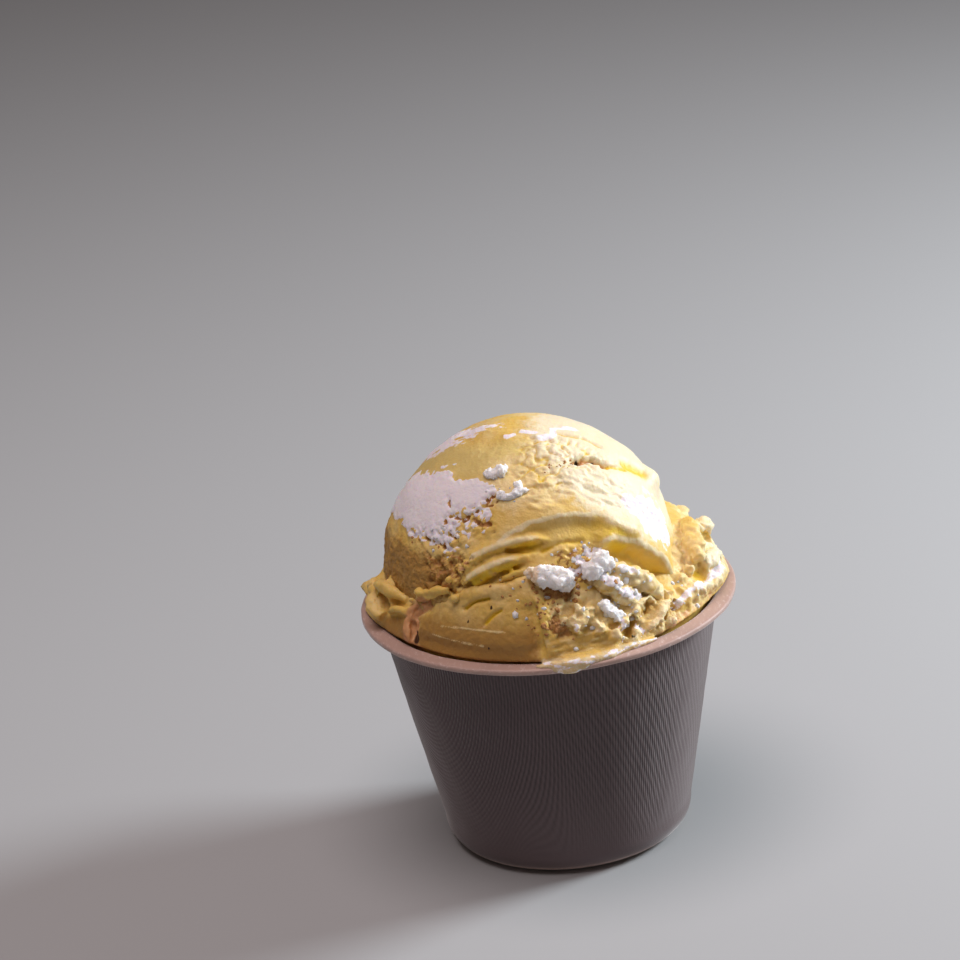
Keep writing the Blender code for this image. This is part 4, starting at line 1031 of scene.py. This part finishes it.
def makeLowerScoop():
    shells = [latheShell(heapRows())]
    shells += [foldShell(fold, heapPlace(fold), seed + 20) for seed, fold in enumerate(heapFolds.values())]
    shells += [ropeShell([roundAxis(*spot) for spot in line], radii, seed + 40, 0.24)
               for seed, (line, radii) in enumerate(heapRopes)]
    shells += [blobShell(roundAxis(*at), (radius,) * 3, np.eye(3), seed + 60)
               for seed, (*at, radius) in enumerate(heapKnobs)]
    shells += [ropeShell([roundAxis(*spot) for spot in line], radii, seed + 80, 0.18)
               for seed, (line, radii) in enumerate(drip)]
    mesh = fuseShells("lowerGelato", shells, heap["voxel"])
    points, normals = meshPoints(mesh)
    azimuth = np.degrees(np.arctan2(points[:, 0], -points[:, 1]))
    radius = np.hypot(points[:, 0], points[:, 1])
    free = fade((points[:, 2] - cup["height"] - 0.3) / 3.0) * fade((radius - 24) / 6)
    setPoints(mesh, points + normals * (heapRelief(points, azimuth) * free)[:, None])
    smoothMesh(mesh, 2)
    points, normals = meshPoints(mesh)
    flat, hollow = heapFlat(points), creases(mesh, 10)
    zones = {name: insideOutline(flat, heapOutline(outline)) for name, outline in heapMarks.items()}
    ragged = 1.4 * lumps(points, 2.6, 37) + 0.8 * lumps(points, 1.1, 38)
    fine, mid, big = (billows(points, size, seed) for size, seed in ((1.5, 31), (2.8, 32), (5.2, 33)))
    lines = {name: bell((nearLine(flat, smoothLine(heapOutline(line), 24))[0] + 0.15 * ragged) / width)
             for name, (line, width) in heapLines.items()}
    slab = fade((zones["slab"] + 0.8 + 1.1 * ragged) / 3.2)
    layers = fade((zones["layers"] + ragged) / 2.0)
    crags = fade((zones["crags"] + 0.6 * ragged) / 2.5) * (1 - layers)
    brown = most(*(fade((zones[name] + ragged) / 1.5) for name in ("brown", "brownHigh")))
    right, leftTan = fade(zones["rightSide"] / 4.0), fade(zones["leftTan"] / 2)
    back = fade((np.abs(azimuth) - 100) / 20)
    near = fade((110 - np.abs(azimuth)) / 10) * fade((points[:, 2] - 60.5) / 1.0)
    loose = most(crags, brown, 0.4 * right) * near * (1 - 0.8 * layers)
    tops, shade = (fade(1.35 - (nearLine(points, smoothLine([roundAxis(*spot) for spot in line], 24))[0]
                                + 0.5 * ragged) / width) for line, width in (heapTops, heapShade))
    golden, earthy, pits = np.zeros((3, len(points)))
    for *at, reach, depth, gold, earth in heapHollows:
        share = bell((np.linalg.norm(points - roundAxis(*at), axis=1) + 0.3 * np.abs(ragged)) / reach)
        golden, earthy, pits = most(golden, gold * share), most(earthy, earth * share), pits + depth * share
    bigBits, bigTone = pebbles(points, 3.6, 23, loose)
    bits, bitTone = pebbles(points, 1.4, 24, most(loose, shade))
    step = fade((zones["slab"] + 0.7 * ragged) / 1.3) * fade((points[:, 2] - 63) / 3)

    height = 0.05 * fine + 0.08 * lumps(points, 4.0, 34) + 0.8 * step + 0.12 * slab * (fine - 0.5)
    height += crags * (0.8 * (big - 0.45) + 0.5 * (mid - 0.5))
    height += loose * (1.0 * (bigBits - 0.6) + 0.35 * (bits - 0.5))
    height += layers * (0.45 * lumps(points * (0.28, 0.28, 1.0), 1.2, 35) + 0.2 * fine)
    height += right * (0.45 * (mid - 0.4) + 0.25 * fine) + back * 0.35 * (big - 0.5)
    height += lines["crevice"] * (0.9 * (mid - 0.6) + 0.3 * fine)
    height -= 1.1 * lines["slitHigh"] + 0.9 * lines["slitLow"]
    height += shade * (0.5 * (mid - 0.5) + 0.5 * (fine - 0.5) + 0.5 * (bits - 0.5)) - 0.6 * brown - pits
    height += 0.12 * lines["scratch"] + 0.10 * lines["scratchHigh"]
    points += normals * (height * free)[:, None]
    setPoints(mesh, points)

    dark = [bell(np.linalg.norm((flat - heapOutline([at])) * (1, 0.6), axis=1) / reach)
            for at, reach in heapSpots]
    onDrip = fade((radius - 41.4) / 0.8) * fade((30 - np.abs(azimuth - 12)) / 6)
    onDrip *= fade((63.2 - points[:, 2]) / 0.8)
    streaked = fade(0.5 + 1.6 * lumps(points * (0.35, 0.35, 1.6), 0.8, 39))
    # Painted shade: gold in creases, in the slits and in the listed hollows.
    deep = fade(hollow * 1.2) + lines["slitHigh"] + lines["slitLow"]
    whiteBits = loose * (bigTone + 0.4 * bitTone > 1.12)
    brownBits = loose * (bitTone < 0.2) * (1 - 0.7 * right) * (1 - 0.7 * crags)
    low = loose * fade(1.5 - 1.7 * bits) * (1 - 0.5 * right)
    paint(mesh, white=most(0.9 * whiteBits, 0.62 * onDrip * streaked, 0.7 * tops), olive=0 * low,
          deep=most(deep * (1 - lines["crevice"]) * (1 - 0.5 * loose), golden), dark=1.2 * most(*dark),
          porous=0.4 * crags + 0.3 * leftTan,
          # Painted shade: tan deepening towards the bottom of the slab and in the hollows of the crags; on
          # the left, the drip and the layers it is their own tan.
          tan=most(slab * (1.05 - 0.7 * fade((points[:, 2] - 64) / 9)), 0.95 * leftTan, 0.6 * onDrip,
                   0.4 * layers, 0.8 * crags * fade(hollow + 0.35)),
          # Crumb brown: the brown patches and crumbs, the low places among the crumbs, and painted shade in
          # the listed hollows.
          crumb=most(0.8 * brown, 1.1 * earthy, 0.45 * low, 0.45 * brownBits),
          # Painted light: paler on the crag tops and the lit right side; the layers and scratches are the
          # gelato's own.
          pale=0.8 * crags * fade(0.7 - hollow) + 0.5 * layers * streaked + 0.6 * right
          + 0.9 * lines["scratch"] + 0.8 * lines["scratchHigh"],
          # Pink in the crevice, and as painted shade under the right rope.
          pink=most(1.2 * lines["crevice"], 0.55 * shade * fade(1.3 - mid)),
          # Painted light: cream on the lump tops of the lit right side and on the crag tops; on the drip it
          # is the drip's own colour.
          cream=most(fade((zones["rightSide"] - 2) / 8) * fade(0.6 - 1.5 * hollow), 0.5 * onDrip,
                     0.45 * crags * fade(0.4 - 1.5 * hollow)))
    return makePiece("lowerGelato", joinMeshes(mesh, roundRest()), gelato, ["lower_scoop"])


def roundRest():  # the plain part of the gelato that the cup hides
    inner, floor = cup["wall"] + heap["clear"], cup["wall"] + cup["footRecess"] + heap["clear"]
    top = heap["floor"] - 0.6
    side = wallRadius(floor, inner)
    section = [(12.0, top), (wallRadius(top, inner), top)]
    section.append((wallRadius(cup["fillet"] + 2, inner), cup["fillet"] + 2))
    section += bent(section[-1], (side, floor), (side - 5.5, floor), 5)[1:]
    angles = np.linspace(0, 2 * pi, 48, endpoint=False)
    rows = [ringAt(radius, angles, height) for radius, height in section + [(8.0, floor)]]
    return makeMesh("rest", latheShell(rows))


def joinMeshes(mesh, other):
    shape = bmesh.new()
    shape.from_mesh(mesh)
    shape.from_mesh(other)
    shape.to_mesh(mesh)
    shape.free()
    bpy.data.meshes.remove(other)
    return mesh


lower = makeLowerScoop()
print("lower gelato made:", len(lower.data.polygons), "faces")

# Chunks of meringue: where on the upper scoop, how far out, the turn, for some how strong the painted
# shade on the left side and the lower side is, and the lobes as right, up, out and three half sizes
# in the chunk's own turned axes.
chunks = {
    "chunkLarge": dict(node="chunk_large", at=(6, 15), out=2.8, turn=-12, warmLeft=0.85, lobes=[
        (2.0, 0.2, 0.3, 3.3, 2.7, 2.9), (-1.6, 0.4, 0.0, 2.9, 2.5, 2.5), (-4.0, 0.8, -0.4, 1.8, 1.5, 1.6),
        (0.2, 1.6, 0.6, 2.0, 1.5, 1.6), (4.0, -1.2, -0.2, 1.9, 1.8, 1.7)]),
    "chunkRight": dict(node="chunk_right", at=(24, 16), out=3.0, turn=20, lobes=[
        (-1.4, -0.4, 0.2, 2.4, 2.3, 2.2), (1.3, 0.9, 0.2, 2.5, 2.1, 2.2), (2.6, -1.2, 0.0, 1.7, 1.8, 1.7),
        (-2.4, 1.0, -0.3, 1.3, 1.2, 1.3), (1.0, -2.6, -0.6, 1.4, 1.3, 1.3)]),
    "chunkSlab": dict(node="chunk_slab", at=(26, -1), out=5.2, turn=-48, warmBelow=0, lobes=[
        (-3.3, 0.2, 0.0, 1.8, 1.5, 1.6), (-1.2, 0.1, 0.2, 1.9, 1.7, 1.7), (1.2, -0.1, 0.2, 2.0, 1.9, 1.8),
        (3.2, -0.3, 0.0, 1.9, 2.0, 1.7), (1.6, -1.5, -0.2, 1.1, 1.0, 1.0)]),
    "chunkUpper": dict(node="chunk_upper", at=(-19, 57), out=0.6, turn=10, lobes=[
        (-1.2, 0.0, 0.0, 1.9, 1.5, 1.3), (1.3, 0.2, 0.3, 1.5, 1.6, 1.4), (2.3, 1.1, 0.2, 0.8, 0.8, 0.8),
        (-0.4, -1.0, 0.0, 1.2, 0.9, 0.9)]),
    "chunkLower": dict(node="chunk_lower", at=(-7, 48), out=0.6, turn=24, lobes=[
        (-2.5, 0.7, 0.1, 1.2, 1.3, 1.2), (-0.9, -0.6, 0.1, 1.4, 1.2, 1.2), (1.1, -0.5, 0.2, 1.6, 1.3, 1.3),
        (2.0, 1.0, 0.3, 1.2, 1.3, 1.2), (2.9, -0.7, 0.0, 0.9, 0.9, 0.9)]),
}
chunkVoxel = 0.22


def makeChunk(name, chunk, seed):
    out, across, up = scoopAxes(chunk["at"], chunk["turn"])
    axes = (across, up, out)
    middle = scoop["centre"] + out * (scoop["radius"] + chunk["out"])
    shells = []
    for i, (right, high, away, *half) in enumerate(chunk["lobes"]):
        spot = middle + across * right + up * high + out * away
        shells.append(blobShell(spot, half, axes, seed * 10 + i, 4, 0.16))
    mesh = fuseShells(name, shells, chunkVoxel)
    smoothMesh(mesh, 1)
    points, normals = meshPoints(mesh)
    whole = np.ones(len(points))
    big, small = pebbles(points, 1.5, seed, whole)[0], pebbles(points, 0.7, seed + 1, whole)[0]
    height = 0.55 * (big - 0.65) + 0.24 * (small - 0.6)
    setPoints(mesh, points + normals * height[:, None])
    below, side = (points - middle) @ up, (points - middle) @ across
    # Painted shade: the hollow colour in the creases, on the lower side and on the left side, where the
    # lamp doesn't reach.
    warm = chunk.get("warmBelow", 0.5) * fade((-0.4 - below) / 2.5)
    warm += chunk.get("warmLeft", 0) * fade((-1.2 - side) / 2.5)
    paint(mesh, deep=np.maximum(fade(creases(mesh, 8) * 2.2), warm))
    return makePiece(name, mesh, meringue, [chunk["node"]])


for seed, (name, chunk) in enumerate(chunks.items()):
    makeChunk(name, chunk, seed + 90)
print("chunks made")

# Loose crumbs: zones of longitude and latitude on the upper scoop, how many, and their sizes.
crumbZones = dict(
    meringueCrumbs=dict(material=meringue, slot="meringue", seed=5, zones=[
        ((3, 8), (15, 8), 8, (0.35, 1.1)), ((22, 15), (9, 6), 16, (0.3, 1.2)),
        ((32, 6), (7, 8), 16, (0.4, 1.3)),
        ((-38, 30), (10, 5), 18, (0.3, 0.9)), ((-12, 47), (9, 5), 10, (0.25, 0.8)),
        ((22, 24), (9, 2), 4, (0.4, 0.9)), ((60, -6), (8, 6), 6, (0.3, 0.8)),
        ((14, 0), (6, 6), 6, (0.3, 0.9))]),
    biscuitCrumbs=dict(material=crumb, slot="gelato", seed=9, zones=[
        ((8, 8), (9, 4), 40, (0.3, 0.8)), ((4, 1), (6, 4), 30, (0.3, 0.9)),
        ((20, 12), (7, 4), 16, (0.25, 0.7)),
        ((-10, 13), (12, 3), 8, (0.25, 0.6)), ((-50, 26), (14, 3), 12, (0.2, 0.5)),
        ((30, 57), (20, 2), 16, (0.2, 0.5))]))


def makeCrumbs(name, kind, carriers):
    draw = np.random.default_rng(kind["seed"])
    shells = []
    unit, faces = roundShell(2)
    for at, spread, count, sizes in kind["zones"]:
        for _ in range(count):
            lon, lat = at[0] + spread[0] * draw.normal() * 0.55, at[1] + spread[1] * draw.normal() * 0.55
            out = direction(lon, lat)
            start = scoop["centre"] + out * 70
            size = sizes[0] + (sizes[1] - sizes[0]) * draw.random() ** 2.2
            stretch = draw.uniform(0.65, 1.0, 3) * size
            shift = draw.uniform(0, 50)
            hits = [tree.ray_cast(Vector(start * mm), Vector(-out)) for tree in carriers]
            hits = [hit for hit in hits if hit[0] is not None]
            if not hits:
                continue
            spot = np.array(min(hits, key=lambda hit: hit[3])[0]) / mm - out * size * 0.25
            swell = 1 + 0.55 * lumps(unit, 0.9, shift)
            angle, axis = draw.uniform(0, 6.28), Vector(draw.normal(size=3)).normalized()
            turn = np.array(Matrix.Rotation(angle, 3, axis))
            shells.append(((unit * swell[:, None] * stretch) @ turn + spot, faces))
    mesh = makeMesh(name, joinShells(shells))
    paint(mesh, deep=np.zeros(len(mesh.vertices)))
    piece = makePiece(name, mesh, kind["material"])
    print(name, len(shells), "crumbs")
    return piece


def surfaceTree(piece):
    return BVHTree.FromObject(piece, bpy.context.evaluated_depsgraph_get())


bpy.context.view_layer.update()
carriers = [surfaceTree(upper), surfaceTree(lower)]
for name, kind in crumbZones.items():
    makeCrumbs(name, kind, carriers)

# The floor, the light and the camera.
studio = dict(floor=(0.43, 0.45, 0.46, 1), world=(1.0, 0.80, 0.74, 1), worldStrength=0.09)
lamps = dict(key=dict(toward=(0.86, 0.24, 0.44), away=0.85, size=0.28, power=8.4, colour=(0.91, 0.96, 1.0)),
             top=dict(toward=(-0.10, -0.16, 1.0), away=0.95, size=0.8, power=6.3, colour=(1.0, 0.85, 0.84)))


def makeFloor():
    mesh = bpy.data.meshes.new("floor")
    side = 3.0
    corners = [(-side, -side, 0), (side, -side, 0), (side, side, 0), (-side, side, 0)]
    mesh.from_pydata(corners, [], [(0, 1, 2, 3)])
    floor = bpy.data.objects.new("floor", mesh)
    bpy.context.scene.collection.objects.link(floor)
    finish = Finish("floorPaper")
    mesh.materials.append(finish.connect(Base_Color=studio["floor"], Roughness=0.8))


def makeLamp(name, lamp):
    light = bpy.data.lights.new(name, "AREA")
    light.shape = "DISK"
    light.size = lamp["size"]
    light.energy = lamp["power"]
    light.color = lamp["colour"]
    holder = bpy.data.objects.new(name, light)
    bpy.context.scene.collection.objects.link(holder)
    toward = Vector(lamp["toward"]).normalized()
    holder.location = Vector((0, 0, 0.07)) + toward * lamp["away"]
    holder.rotation_euler = (-toward).to_track_quat("-Z", "Y").to_euler()


def makeWorld():
    world = bpy.data.worlds.new("studio")
    world.use_nodes = True
    back = world.node_tree.nodes["Background"]
    back.inputs["Color"].default_value = studio["world"]
    back.inputs["Strength"].default_value = studio["worldStrength"]
    bpy.context.scene.world = world


def makeCamera():  # the photo's camera: 3400 pixels of focal length in a frame of 960
    camera = bpy.data.cameras.new("camera")
    camera.sensor_width, camera.lens = 36.0, 127.5
    camera.clip_start, camera.clip_end = 0.05, 20.0
    holder = bpy.data.objects.new("camera", camera)
    bpy.context.scene.collection.objects.link(holder)
    right = Vector((0.99495, -0.02008, -0.09836))
    up = Vector((0.09901, 0.35797, 0.92847))
    back = right.cross(up)
    turn = Matrix((right, up, back)).transposed().to_4x4()
    holder.matrix_world = Matrix.Translation((0.0, -0.74946, 0.37886)) @ turn
    bpy.context.scene.camera = holder


makeFloor()
for name, lamp in lamps.items():
    makeLamp(name, lamp)
makeWorld()
makeCamera()
bpy.context.scene.view_settings.view_transform = "Standard"

bpy.context.view_layer.update()
